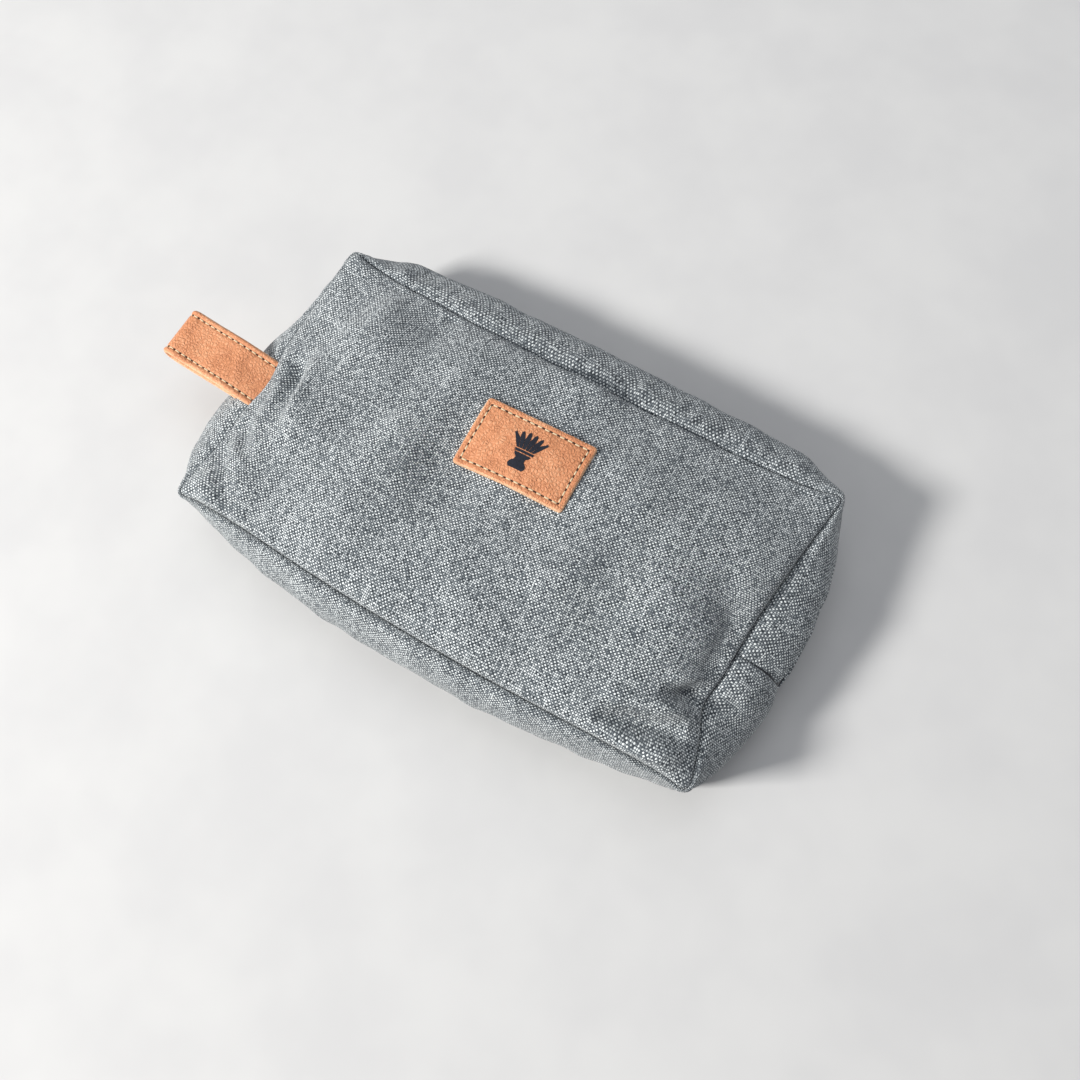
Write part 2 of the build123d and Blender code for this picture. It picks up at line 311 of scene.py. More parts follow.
def simulate_shell():
    """Cloth with the real cut lengths, blown gently from inside and held at the zipper and the back."""
    vertices = shell_vertices(*start_shape())
    mesh = bpy.data.meshes.new("shell")
    mesh.from_pydata(vertices.tolist(), [], shell_faces())
    shell = add_object("shell", mesh)
    shell.shape_key_add(name="Basis")
    cut = shell.shape_key_add(name="cut")
    cut.data.foreach_set("co", shell_vertices(*cut_shape()).astype(np.float32).ravel())
    hold = shell.vertex_groups.new(name="hold")
    for index, weight in enumerate(hold_weights()):
        hold.add([index], float(weight), "REPLACE")
    cloth = shell.modifiers.new("cloth", "CLOTH")
    settings = cloth.settings
    settings.quality = 8
    settings.mass = MASS
    settings.tension_stiffness = 30
    settings.compression_stiffness = 30
    settings.shear_stiffness = 12
    settings.bending_stiffness = BEND
    settings.tension_damping = 12
    settings.compression_damping = 12
    settings.shear_damping = 8
    settings.air_damping = 4
    settings.use_pressure = True
    settings.uniform_pressure_force = PRESSURE
    settings.vertex_group_mass = "hold"
    settings.pin_stiffness = PIN_STIFFNESS
    settings.rest_shape_key = cut
    settings.effector_weights.gravity = 0
    cloth.collision_settings.use_collision = False
    cloth.collision_settings.use_self_collision = False
    cloth.point_cache.frame_start = 1
    cloth.point_cache.frame_end = SETTLING_FRAMES
    scene = bpy.context.scene
    for number in range(1, SETTLING_FRAMES + 1):
        scene.frame_set(number)
    graph = bpy.context.evaluated_depsgraph_get()
    settled = shell.evaluated_get(graph).to_mesh()
    points = np.zeros(len(settled.vertices) * 3)
    settled.vertices.foreach_get("co", points)
    bpy.data.objects.remove(shell)
    scene.frame_set(1)
    return points.reshape(-1, 3)


def split_shell(points):
    """Front grid, back grid and gusset rows back out of the one list of points."""
    shape = FLAT_X.shape + (3,)
    panel = FLAT_X.size
    front = points[:panel].reshape(shape)
    back = points[panel:2 * panel].reshape(shape)
    middle = points[2 * panel:].reshape(CELLS_Z - 1, len(RIM), 3)
    rows = np.concatenate([front[RIM_I, RIM_J][None], middle, back[RIM_I, RIM_J][None]])
    return front, back, rows


# ---------------------------------------------------------------- fine surfaces from the settled cloth
FINE = 1.1 * MM            # spacing of the finished cloth
ROLL = 2.8 * MM            # how far a seam pulls its edges in
SEAM_STEPS = np.array([0, 0.25, 0.55, 0.9, 1.3, 1.75, 2.3, 3.0, 3.9]) * MM   # close lines beside a seam
RELIEF_FADE = 4 * MM       # the cloth's unevenness dies out this close to a seam
TUCK = 0.8                 # share of the rolled-in cloth that the weave's pattern follows


def curve_weights(at):
    """Catmull-Rom weights of the four points round a fractional place."""
    f = at - np.floor(at)
    return np.stack(
        [
            -0.5 * f + f**2 - 0.5 * f**3,
            1 - 2.5 * f**2 + 1.5 * f**3,
            0.5 * f + 2 * f**2 - 1.5 * f**3,
            -0.5 * f**2 + 0.5 * f**3,
        ]
    )


def resample(points, at, axis, ring=False):
    """Smooth values between the points of one axis of a grid, at fractional indices."""
    points = np.moveaxis(points, axis, 0)
    count = len(points)
    base = np.floor(at).astype(int)
    weights = curve_weights(at)
    total = 0
    for step in range(4):
        index = base + step - 1
        if ring:
            value = points[index % count]
        else:
            value = points[np.clip(index, 0, count - 1)]
            before, after = index < 0, index > count - 1
            value = value.copy()
            value[before] = 2 * points[0] - points[1]
            value[after] = 2 * points[-1] - points[-2]
        shape = (-1,) + (1,) * (points.ndim - 1)
        total = total + value * weights[step].reshape(shape)
    return np.moveaxis(total, 0, axis)


def edge_lines(length, step):
    """Places along a length, closer together near both ends where a seam rolls the cloth in."""
    first = SEAM_STEPS[-1] + step
    middle = np.linspace(first, length - first, max(2, round(length / step) - 8))
    return np.concatenate([SEAM_STEPS, middle, (length - SEAM_STEPS)[::-1]])


def unit(vectors):
    return vectors / np.maximum(np.linalg.norm(vectors, axis=-1, keepdims=True), 1e-12)


def grid_normals(points, ring=False):
    """Unit normals of a grid of points, from its two directions."""
    if ring:
        along = np.roll(points, -1, 1) - np.roll(points, 1, 1)
    else:
        along = np.gradient(points, axis=1)
    return unit(np.cross(np.gradient(points, axis=0), along))


class Ripples:
    """A smooth random field over the flat cloth, made of waves between two lengths."""

    def __init__(self, shortest, longest, count=24):
        angle = rng.uniform(0, math.pi, count)
        wave = 2 * math.pi / (shortest * (longest / shortest) ** rng.uniform(0, 1, count))
        self.kx, self.ky = wave * np.cos(angle), wave * np.sin(angle)
        self.phase = rng.uniform(0, 2 * math.pi, count)

    def __call__(self, x, y):
        total = 0
        for kx, ky, phase in zip(self.kx, self.ky, self.phase):
            total = total + np.sin(kx * x + ky * y + phase)
        return total / math.sqrt(len(self.kx) / 2)


def crease(x, y, start, end, width, depth, lip=0.35):
    """A sharp fold between two points of the flat cloth: a valley with a low lip on both sides."""
    start, end = np.array(start) * MM, np.array(end) * MM
    run = end - start
    length = np.linalg.norm(run)
    run = run / length
    along = ((x - start[0]) * run[0] + (y - start[1]) * run[1]) / length
    across = (-(x - start[0]) * run[1] + (y - start[1]) * run[0]) / (width * MM)
    taper = np.clip(1 - (2 * along - 1) ** 2, 0, 1) ** 0.8
    valley = np.exp(-(across**2))
    lips = np.exp(-((np.abs(across) - 2.1) ** 2) / 0.8)
    return depth * MM * taper * (lip * lips - valley)


def dent(x, y, centre, radius, depth):
    """A soft round dip, or a swelling where depth is negative."""
    distance = ((x - centre[0] * MM) ** 2 + (y - centre[1] * MM) ** 2) / (radius * MM) ** 2
    return -depth * MM * np.exp(-distance)


def roll_in(distance):
    """How far the cloth has turned in at a distance from its seam: a quarter round."""
    share = np.clip(1 - distance / ROLL, 0, 1)
    return ROLL * (1 - np.sqrt(np.maximum(1 - share**2, 0)))


def seam_strength():
    """The front seam's groove is pulled open along the left end, except close to its corners."""
    gap_x, gap_y = (np.array([PANEL_X, PANEL_Y]) - np.abs(RIM_FLAT)).T
    left = 1 - step_up(gap_y, 6 * MM, 14 * MM)
    near_corner = bump(np.hypot(gap_x, gap_y), 9 * MM)
    return np.where(RIM_I == 0, np.maximum(left, 0.22), 1.0) * (1 - 0.4 * near_corner)


def rim_normals(front, back, rows):
    """Directions out of the bag along the front seam and the back seam."""
    front_out = grid_normals(front)[RIM_I, RIM_J]
    back_out = -grid_normals(back)[RIM_I, RIM_J]
    side_out = side_normals(rows)
    return unit(front_out + side_out[0]) * seam_strength()[:, None], unit(back_out + side_out[-1])


def side_normals(rows):
    return grid_normals(rows, ring=True)


def nearest_rim(along_rim):
    """For each node of a panel grid, what the rim point nearest to it has."""
    flat = np.stack([FLAT_X.ravel(), FLAT_Y.ravel()], -1)
    distance = ((flat[:, None] - RIM_FLAT[None]) ** 2).sum(-1)
    return along_rim[distance.argmin(1)].reshape(FLAT_X.shape + (3,))


PUCKERS = Ripples(5 * MM, 13 * MM)
WAVES = Ripples(16 * MM, 60 * MM)
SLACK = Ripples(40 * MM, 110 * MM)


def cloth_relief(x, y, distance):
    """Small unevenness of the cloth: puckers by the seams, and gentle waves everywhere."""
    near = np.exp(-distance / (7 * MM))
    return 0.28 * MM * PUCKERS(x, y) * near + 0.22 * MM * WAVES(x, y) * (1 - 0.6 * near)


def back_features(x, y):
    """The bag lies on its back panel, so it is nearly flat there."""
    return 0.12 * MM * SLACK(x, y)


def front_features(x, y):
    """The folds and dips of the front panel, in millimetres of its flat cloth."""
    total = 1.2 * MM * SLACK(x, y)
    # round the loop, then down the left end
    total = total + crease(x, y, (-116, 12), (-102, -28), 4.2, 2.8, 0.6)
    total = total + dent(x, y, (-113, 3), 6, 2.6) + dent(x, y, (-104, 8), 7, -1.6)
    total = total + dent(x, y, (-99, -14), 10, -1.2) + crease(x, y, (-100, 36), (-112, 62), 6.0, 1.2)
    total = total + crease(x, y, (-123, -28), (-108, -42), 3.2, 2.2, 0.6) + dent(x, y, (-112, -36), 6, -1.2)
    total = total + crease(x, y, (-123, -46), (-98, -64), 4.2, 2.6)
    # the deep pinch at the lower right corner
    total = total + crease(x, y, (80, -60), (119, -50), 4.0, 6.6, 0.45) + dent(x, y, (110, -63), 9, -3.0)
    total = total + crease(x, y, (98, -40), (126, -34), 3.4, 4.2, 0.5)
    # broad soft valleys
    total = total + crease(x, y, (-72, 66), (-52, 8), 11.0, 2.3) + crease(x, y, (52, -48), (84, -6), 12.0, 2.0)
    total = total + crease(x, y, (-40, -62), (-4, -30), 12.0, 1.7)
    return total + crease(x, y, (96, 8), (123, -4), 7.0, 1.8)


def lining_tuck(distance):
    """How far the lining, which is caught in a seam, stands off inside it."""
    return (ROLL + 0.6 * MM) * bump(distance, 5 * MM)


def panel_surface(grid, seam_out, out_sign, step, features, inset=0.0):
    """Fine points and flat coordinates of one panel, or of the lining that lies inset inside it.

    seam_out holds the directions out of the bag round the panel's rim.
    """
    x_lines = edge_lines(2 * PANEL_X, step) - PANEL_X
    y_lines = edge_lines(2 * PANEL_Y, step) - PANEL_Y
    at_x = (x_lines + PANEL_X) / (2 * PANEL_X) * CELLS_X
    at_y = (y_lines + PANEL_Y) / (2 * PANEL_Y) * CELLS_Y
    points = resample(resample(grid, at_x, 0), at_y, 1)
    out = resample(resample(nearest_rim(seam_out), at_x, 0), at_y, 1)
    flat_x, flat_y = to_rounded(*np.meshgrid(x_lines, y_lines, indexing="ij"))
    distance = np.maximum(edge_distance(flat_x, flat_y), 0)
    normal = unit(resample(resample(out_sign * grid_normals(grid), at_x, 0), at_y, 1))
    fade = np.clip(distance / RELIEF_FADE, 0, 1)
    relief = features(flat_x, flat_y)
    if inset:
        moved = normal * (relief * fade - inset)[..., None] - unit(out) * lining_tuck(distance)[..., None]
        return points + moved, flat_x, flat_y
    relief = (relief + cloth_relief(flat_x, flat_y, distance)) * fade
    points = points + normal * relief[..., None] - out * roll_in(distance)[..., None]
    margin = 9 * MM
    inner_x = np.clip(flat_x, margin - PANEL_X, PANEL_X - margin)
    inner_y = np.clip(flat_y, margin - PANEL_Y, PANEL_Y - margin)
    away = unit(np.stack([flat_x - inner_x, flat_y - inner_y], -1))
    tucked = TUCK * roll_in(distance) * np.linalg.norm(out, axis=-1)
    return points, flat_x + away[..., 0] * tucked, flat_y + away[..., 1] * tucked


def rim_places(start, end, step, close_ends=True):
    """Fractional rim indices, flat lengths round the rim, and lengths from the start, counter-clockwise."""
    total, count = RIM_LENGTHS[-1], len(RIM)
    first, last = (i // count * total + np.interp(i % count, RIM_COUNT, RIM_LENGTHS) for i in (start, end))
    span = last - first
    lines = edge_lines(span, step) if close_ends else np.linspace(0, span, round(span / step) + 1)
    run = first + lines
    index = run // total * count + np.interp(run % total, RIM_LENGTHS, RIM_COUNT)
    return index, run, lines


def side_surface(places, depth_lines, fold=None, end_rolls=False, inset=0.0):
    """Fine points of a stretch of the gusset, or of what lies inset inside it.

    Rows run from the front seam to the back seam. fold is the depth of a turned edge.
    """
    index, run, from_start = places
    at_depth = depth_lines / DEPTH * CELLS_Z
    points = resample(resample(ROWS, at_depth, 0), index, 1, ring=True)
    normal = unit(resample(resample(side_normals(ROWS), at_depth, 0), index, 1, ring=True))
    front_out = resample(FRONT_OUT, index, 0, ring=True)[None]
    back_out = resample(BACK_OUT, index, 0, ring=True)[None]
    depth = depth_lines[:, None] + 0 * run[None]
    along = run[None] + 0 * depth
    to_front, to_back = depth, DEPTH - depth
    nearest = np.minimum(to_front, to_back)
    if inset:
        points = points - normal * inset - unit(front_out) * lining_tuck(to_front)[..., None]
        return points - back_out * lining_tuck(to_back)[..., None], along, depth
    bead = 0.25 * MM * bump(nearest - 3.2 * MM, 1.7 * MM)
    relief = (bead + 1.3 * cloth_relief(along, depth + 0.4, nearest)) * np.clip(nearest / RELIEF_FADE, 0, 1)
    if fold is not None:
        away = np.abs(depth - fold)
        stitched = 0.3 * MM * bump(away - 2.4 * MM, 0.6 * MM)
        relief = relief + 0.7 * MM * bump(away, 8 * MM) - 0.45 * roll_in(away * 1.6) - stitched
    if end_rolls:
        ends = np.minimum(from_start, from_start[-1] - from_start)[None] + 0 * depth
        relief = relief - 0.55 * roll_in(ends) - 1.3 * MM * bump(ends, 6 * MM)
    points = points + normal * relief[..., None]
    points = points - front_out * roll_in(to_front)[..., None] - back_out * roll_in(to_back)[..., None]
    tucked = roll_in(to_back) - roll_in(to_front) * np.linalg.norm(front_out, axis=-1)
    return points, along, depth + TUCK * tucked


def grid_quads(points):
    """Faces between the rows and columns of a grid of points."""
    index = np.arange(points.shape[0] * points.shape[1]).reshape(points.shape[:2])
    return np.stack([index[:-1, :-1], index[1:, :-1], index[1:, 1:], index[:-1, 1:]], -1).reshape(-1, 4)


def sheet_object(name, points, u, v, thickness, flip=False):
    """A cloth piece from a grid of points, with its flat pattern in millimetres as the UV map weave."""
    quads = grid_quads(points)
    if flip:
        quads = quads[:, ::-1]
    mesh = bpy.data.meshes.new(name)
    mesh.from_pydata(points.reshape(-1, 3).tolist(), [], quads.tolist())
    weave = mesh.uv_layers.new(name="weave")
    flat = np.stack([u.ravel(), v.ravel()], -1)[quads.ravel()] / MM
    weave.data.foreach_set("uv", flat.astype(np.float32).ravel())
    mesh.polygons.foreach_set("use_smooth", [True] * len(mesh.polygons))
    piece = add_object(name, mesh)
    if thickness:
        solid = piece.modifiers.new("thickness", "SOLIDIFY")
        solid.thickness = thickness
        solid.offset = -1
    return piece


def apply_modifiers(piece):
    """Bakes the piece's modifiers into its mesh."""
    graph = bpy.context.evaluated_depsgraph_get()
    mesh = bpy.data.meshes.new_from_object(piece.evaluated_get(graph))
    piece.modifiers.clear()
    piece.data = mesh


def mouth_share(x):
    """How far a place along the mouth opens: all the way in the middle, not at all at its ends."""
    u = np.clip(np.abs(x) / MOUTH_X, 0, 1)
    return (1 - u**2) ** 2 * (1 + 0.6 * u**2)


def hang_on_mouth(piece, body):
    """The piece bends from the bag's seam to the mouth's edge, most in the middle of the mouth."""
    seam = Vector((0, PANEL_Y, SEAM_Z if body == "mouth_front" else 0))
    edge = Vector((0, CHAIN_Y, CHAIN_Z))
    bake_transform(piece, "bag", body, start=seam, end=seam.lerp(edge, 0.9))
    count = len(piece.data.vertices)
    place = np.zeros(count * 3)
    piece.data.vertices.foreach_get("co", place)
    weight = np.zeros(count, np.float32)
    attribute = piece.data.attributes["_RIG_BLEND"]
    attribute.data.foreach_get("value", weight)
    weight = weight * mouth_share(place.reshape(-1, 3)[:, 0])
    attribute.data.foreach_set("value", weight.astype(np.float32))


# ---------------------------------------------------------------- materials
class Field:
    """A shader value: arithmetic on it adds Math nodes to its tree."""

    def __init__(self, tree, socket):
        self.tree, self.socket = tree, socket

    def math(self, operation, *others):
        node = self.tree.nodes.new("ShaderNodeMath")
        node.operation = operation
        for socket, value in zip(node.inputs, (self,) + others):
            if isinstance(value, Field):
                self.tree.links.new(value.socket, socket)
            else:
                socket.default_value = value
        return Field(self.tree, node.outputs[0])

    def __add__(self, other):
        return self.math("ADD", other)

    def __sub__(self, other):
        return self.math("SUBTRACT", other)

    def __mul__(self, other):
        return self.math("MULTIPLY", other)

    def __truediv__(self, other):
        return self.math("DIVIDE", other)

    def floor(self):
        return self.math("FLOOR")

    def fract(self):
        return self.math("FRACT")

    def wave(self):
        """cos(pi x), never below zero."""
        return (self * math.pi).math("COSINE").math("MAXIMUM", 0.0)

    def power(self, exponent):
        return self.math("POWER", exponent)

    def ramp(self, low, high, start=0.0, end=1.0):
        """Smooth rise from start to end as the value goes from low to high."""
        node = self.tree.nodes.new("ShaderNodeMapRange")
        node.interpolation_type = "SMOOTHSTEP"
        self.tree.links.new(self.socket, node.inputs["Value"])
        for name, value in (("From Min", low), ("From Max", high), ("To Min", start), ("To Max", end)):
            node.inputs[name].default_value = value
        return Field(self.tree, node.outputs["Result"])

    def between(self, zero, one):
        """The value zero where this is 0, the value one where it is 1."""
        return self * (one - zero) + zero


def vector(tree, x, y, z=0.0):
    node = tree.nodes.new("ShaderNodeCombineXYZ")
    for socket, value in zip(node.inputs, (x, y, z)):
        if isinstance(value, Field):
            tree.links.new(value.socket, socket)
        else:
            socket.default_value = value
    return node.outputs[0]


def noise(tree, place, scale, detail=2.0, roughness=0.5):
    node = tree.nodes.new("ShaderNodeTexNoise")
    node.inputs["Scale"].default_value = scale
    node.inputs["Detail"].default_value = detail
    node.inputs["Roughness"].default_value = roughness
    tree.links.new(place, node.inputs["Vector"])
    return Field(tree, node.outputs[0])


def cell_walls(tree, place, scale):
    """Distance to the nearest wall between random cells."""
    node = tree.nodes.new("ShaderNodeTexVoronoi")
    node.feature = "DISTANCE_TO_EDGE"
    node.inputs["Scale"].default_value = scale
    tree.links.new(place, node.inputs["Vector"])
    return Field(tree, node.outputs["Distance"])


def random_of(tree, number, seed):
    """A random value of each whole number."""
    node = tree.nodes.new("ShaderNodeTexWhiteNoise")
    node.noise_dimensions = "2D"
    tree.links.new(vector(tree, number, seed), node.inputs["Vector"])
    return Field(tree, node.outputs["Value"])


def colour_ramp(tree, value, stops):
    node = tree.nodes.new("ShaderNodeValToRGB")
    ramp = node.color_ramp
    for position, colour in stops[1:-1]:
        ramp.elements.new(position)
    for element, (position, colour) in zip(ramp.elements, stops):
        element.position = position
        element.color = (*colour, 1)
    tree.links.new(value.socket, node.inputs["Fac"])
    return node.outputs["Color"]


def start_material(name):
    """A material's node tree, its shader, and its place in metres on the resting object."""
    material = bpy.data.materials.new(name)
    material.use_nodes = True
    tree = material.node_tree
    shader = tree.nodes["Principled BSDF"]
    coordinates = tree.nodes.new("ShaderNodeTexCoord")
    return material, tree, shader, coordinates.outputs["Object"]


def uv_fields(tree):
    """The piece's own flat pattern, in millimetres: the place, and its two coordinates."""
    node = tree.nodes.new("ShaderNodeUVMap")
    node.uv_map = "weave"
    split = tree.nodes.new("ShaderNodeSeparateXYZ")
    tree.links.new(node.outputs[0], split.inputs[0])
    return node.outputs[0], Field(tree, split.outputs[0]), Field(tree, split.outputs[1])


def finish_material(tree, shader, colour, height, bump_distance, roughness=None, strength=1.0):
    """Links a colour, a bump and, where it varies, a roughness. Other sockets keep constant values."""
    tree.links.new(colour, shader.inputs["Base Color"])
    bump = tree.nodes.new("ShaderNodeBump")
    bump.inputs["Distance"].default_value = bump_distance
    bump.inputs["Strength"].default_value = strength
    tree.links.new(height.socket, bump.inputs["Height"])
    tree.links.new(bump.outputs[0], shader.inputs["Normal"])
    if roughness is not None:
        tree.links.new(roughness.socket, shader.inputs["Roughness"])


def weave_material(name, pitch, dark, light, contrast=1.0, sheen=0.25):
    """Plain weave of two heathered yarns: darker ones along v and lighter ones along u, in millimetres."""
    material, tree, shader = start_material(name)[:3]
    place, u, v = uv_fields(tree)
    u = u + noise(tree, place, 0.13, 2.0) * 1.3 + noise(tree, place, 0.9, 1.0) * 0.42
    turned = vector(tree, v, u)
    v = v + noise(tree, turned, 0.12, 2.0) * 1.3 + noise(tree, turned, 0.8, 1.0) * 0.42
    across, along = u / pitch, v / pitch
    i, j = across.floor(), along.floor()
    fu, fv = across.fract() - 0.5, along.fract() - 0.5
    weft_on_top = ((i + j) * 0.5).fract() * 2.0
    weft_on_top = weft_on_top.ramp(0.4, 0.6)
    profile_u, profile_v = fu.wave(), fv.wave()
    warp_height = profile_u.power(0.9) * profile_v.power(0.45)
    weft_height = profile_v.power(0.9) * profile_u.power(0.45)
    height = weft_on_top.between(warp_height, weft_height)
    warp_place, weft_place = vector(tree, i * 7.7, v * 0.30), vector(tree, u * 0.55, j * 5.3)
    warp_tone = random_of(tree, i, 3.1) * 0.14 + noise(tree, warp_place, 1.0, 2.0) * 1.1
    weft_tone = random_of(tree, j, 9.4) * 0.10 + noise(tree, weft_place, 1.0, 2.0) * 1.1
    fibre = noise(tree, place, 3.4, 2.0, 0.7)
    warp_tone = warp_tone.ramp(0.38, 0.86, 0.05, 0.77)
    weft_tone = weft_tone.ramp(0.34, 0.80, 0.58, 1.12)
    tone = weft_on_top.between(warp_tone, weft_tone)
    crossing = random_of(tree, i + j * 57.0, 1.7).ramp(0.0, 1.0, -0.17, 0.17)
    tone = tone * contrast + fibre.ramp(0.3, 0.7, -0.18, 0.18) + crossing + (1 - contrast) * 0.45
    shade = height.ramp(0.1, 0.85, 0.14, 1.08)
    patchy = noise(tree, place, 0.045, 3.0).ramp(0.3, 0.7, -0.05, 0.05)
    tone = (tone + patchy) * shade
    middle = tuple((a * b) ** 0.5 for a, b in zip(dark, light))
    colour = colour_ramp(tree, tone, [(0.0, dark), (0.5, middle), (1.0, light)])
    bumped = height + fibre * 0.25
    finish_material(tree, shader, colour, bumped, 0.22 * MM * pitch, strength=0.85)
    shader.inputs["Roughness"].default_value = 0.92
    shader.inputs["Specular IOR Level"].default_value = 0.25
    shader.inputs["Sheen Weight"].default_value = sheen
    shader.inputs["Sheen Roughness"].default_value = 0.5
    return material


def leather_material(name, colour, deep, pale):
    """Pebbled leather with fine creases, paler on its cut and worn edges."""
    material, tree, shader, place = start_material(name)
    pebbles = 620.0
    warp = noise(tree, place, pebbles * 0.5, 2.0)
    shifted = tree.nodes.new("ShaderNodeVectorMath")
    shifted.operation = "MULTIPLY_ADD"
    tree.links.new(place, shifted.inputs[0])
    shifted.inputs[1].default_value = (1, 1, 1)
    spread = vector(tree, warp * 0.0007, warp * -0.0006, warp * 0.0004)
    tree.links.new(spread, shifted.inputs[2])
    moved = shifted.outputs[0]
    grain = cell_walls(tree, moved, pebbles).ramp(0.0, 0.32)
    fine = cell_walls(tree, moved, pebbles * 2.3).ramp(0.0, 0.3)
    long_crease = noise(tree, place, 160.0, 3.0, 0.65)
    crease_line = (long_crease - 0.5).math("ABSOLUTE").ramp(0.0, 0.035)
    height = grain * 0.55 + fine * 0.2 + crease_line * 0.22 + noise(tree, place, 90.0, 3.0) * 0.6
    blotch = noise(tree, place, 55.0, 4.0, 0.6)
    tone = blotch.ramp(0.3, 0.7, 0.40, 0.62) + grain * 0.16 + fine * 0.06 + crease_line * 0.2 - 0.28
    worn = tree.nodes.new("ShaderNodeAttribute")
    worn.attribute_name = "worn"
    tone = tone + Field(tree, worn.outputs["Fac"]) * 0.55
    mixed = colour_ramp(tree, tone, [(0.0, deep), (0.5, colour), (1.0, pale)])
    finish_material(tree, shader, mixed, height, 0.42 * MM, blotch.ramp(0.3, 0.7, 0.44, 0.6), strength=0.85)
    shader.inputs["Specular IOR Level"].default_value = 0.35
    return material


def thread_material(name, colour, dark):
    """Twisted waxed thread, from the piece's own weave map: u along the thread, v round it."""
    material, tree, shader, place = start_material(name)
    u, v = uv_fields(tree)[1:]
    twist = (u * 1.6 + v * 1.0).fract() - 0.5
    ply = twist.wave()
    tone = ply.ramp(0.0, 0.9, 0.1, 0.75) + noise(tree, place, 900.0, 2.0) * 0.35
    mixed = colour_ramp(tree, tone, [(0.0, dark), (1.0, colour)])
    finish_material(tree, shader, mixed, ply, 0.1 * MM)
    shader.inputs["Roughness"].default_value = 0.6
    shader.inputs["Sheen Weight"].default_value = 0.15
    return material


def metal_material(name, colour):
    """Satin nickel with fine scratches and dulled patches."""
    material, tree, shader, place = start_material(name)
    stretched = tree.nodes.new("ShaderNodeMapping")
    stretched.inputs["Scale"].default_value = (1.0, 9.0, 9.0)
    tree.links.new(place, stretched.inputs[0])
    scratch = noise(tree, stretched.outputs[0], 420.0, 4.0, 0.7)
    dull = noise(tree, place, 260.0, 3.0)
    tone = scratch.ramp(0.3, 0.7, 0.3, 0.8) - dull * 0.2
    darker = tuple(c * 0.6 for c in colour)
    mixed = colour_ramp(tree, tone, [(0.0, darker), (1.0, colour)])
    roughness = dull.ramp(0.3, 0.7, 0.26, 0.42)
    finish_material(tree, shader, mixed, scratch, 0.03 * MM, roughness)
    shader.inputs["Metallic"].default_value = 1.0
    return material


def plain_material(name, dark, light, scale, bump_distance, roughness):
    """A matt surface with fine grain in two tones: moulded nylon, print, floor, or the painted shade of needle
    holes.
    """
    material, tree, shader, place = start_material(name)
    grain = noise(tree, place, scale, 3.0, 0.6)
    mixed = colour_ramp(tree, grain.ramp(0.3, 0.7), [(0.0, dark), (1.0, light)])
    finish_material(tree, shader, mixed, grain, bump_distance)
    shader.inputs["Roughness"].default_value = roughness
    return material


CANVAS = weave_material("canvas_heather", 0.88, (0.030, 0.038, 0.046), (0.86, 0.90, 0.90))
TAPE = weave_material("zip_tape_weave", 0.7, (0.012, 0.014, 0.018), (0.060, 0.066, 0.075), 0.7)
LINING = weave_material("lining_weave", 0.4, (0.010, 0.012, 0.016), (0.045, 0.050, 0.060), 0.5, 0.4)
BINDING = weave_material("binding_weave", 0.55, (0.010, 0.011, 0.014), (0.055, 0.058, 0.066), 0.7)
LEATHER = leather_material("tan_leather", (0.66, 0.275, 0.130), (0.36, 0.120, 0.048), (0.86, 0.52, 0.31))
THREAD = thread_material("waxed_thread", (0.86, 0.70, 0.46), (0.42, 0.29, 0.15))
# painted shade: dark brown for the small discs that stand in for the shadow inside the needle holes
NEEDLE_HOLE_SHADE = plain_material("needle_hole_painted_shade", (0.030, 0.012, 0.006), (0.075, 0.030, 0.014), 900, 0.02 * MM, 0.9)
NYLON = plain_material("zip_nylon", (0.018, 0.020, 0.023), (0.040, 0.043, 0.048), 700.0, 0.05 * MM, 0.42)
METAL = metal_material("satin_nickel", (0.52, 0.51, 0.50))
PRINT = plain_material("matt_print", (0.003, 0.005, 0.012), (0.010, 0.014, 0.028), 1200.0, 0.05 * MM, 0.85)
FLOOR = plain_material("pale_floor", (0.60, 0.60, 0.60), (0.64, 0.64, 0.635), 14.0, 0.05 * MM, 0.85)


# ---------------------------------------------------------------- the sewn canvas
FRONT, BACK, ROWS = split_shell(simulate_shell())
FRONT_OUT, BACK_OUT = rim_normals(FRONT, BACK, ROWS)
FULL_TURN = 2 * CELLS_X + 2 * CELLS_Y                    # rim indices once round a panel
CUT_RISE = (SEAM_CUT_Y + PANEL_Y) / (2 * PANEL_Y) * CELLS_Y
RIGHT_CUT, LEFT_CUT = CELLS_X + CUT_RISE, FULL_TURN - CUT_RISE   # where bottom and zip gusset meet
FOLD_FRONT = (DEPTH - ZIP_OPENING) / 2
FOLD_BACK = DEPTH - FOLD_FRONT


def hand_in(piece, body, slot_name, *nodes):
    """Says what the piece rides and hides the nodes it stands for. slot_name is not used. A blend follows
    later.
    """
    if body:
        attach(piece, body)
    if nodes:
        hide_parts(*nodes)


def add_cloth(name, surface, material, body, nodes, slot_name, flip=False, thickness=CANVAS_THICK):
    """A cloth piece from fine points and their flat coordinates."""
    piece = sheet_object(name, *surface, thickness, flip)
    piece.data.materials.append(material)
    apply_modifiers(piece)
    hand_in(piece, body, slot_name, *nodes)
    return piece


def fold_lines(start, end, step, folds=(), seams=()):
    """Depths from start to end, closer together near seams and folded edges."""
    lines = set(np.linspace(start, end, max(3, round((end - start) / step) + 1)).round(6))
    for place in seams + folds:
        lines = {line for line in lines if abs(line - place) > 4.2 * MM}
        lines |= {round(place + side * d, 6) for d in SEAM_STEPS for side in (-1, 1)}
    return np.array(sorted(line for line in lines if start - 1e-9 <= line <= end + 1e-9))


front_surface = panel_surface(FRONT, FRONT_OUT, 1, FINE, front_features)
add_cloth("front_panel_cloth", front_surface, CANVAS, "bag", ["front_panel"], "canvas")
back_surface = panel_surface(BACK, BACK_OUT, -1, 1.8 * MM, back_features)
add_cloth("back_panel_cloth", back_surface, CANVAS, "bag", ["back_panel"], "canvas", flip=True)

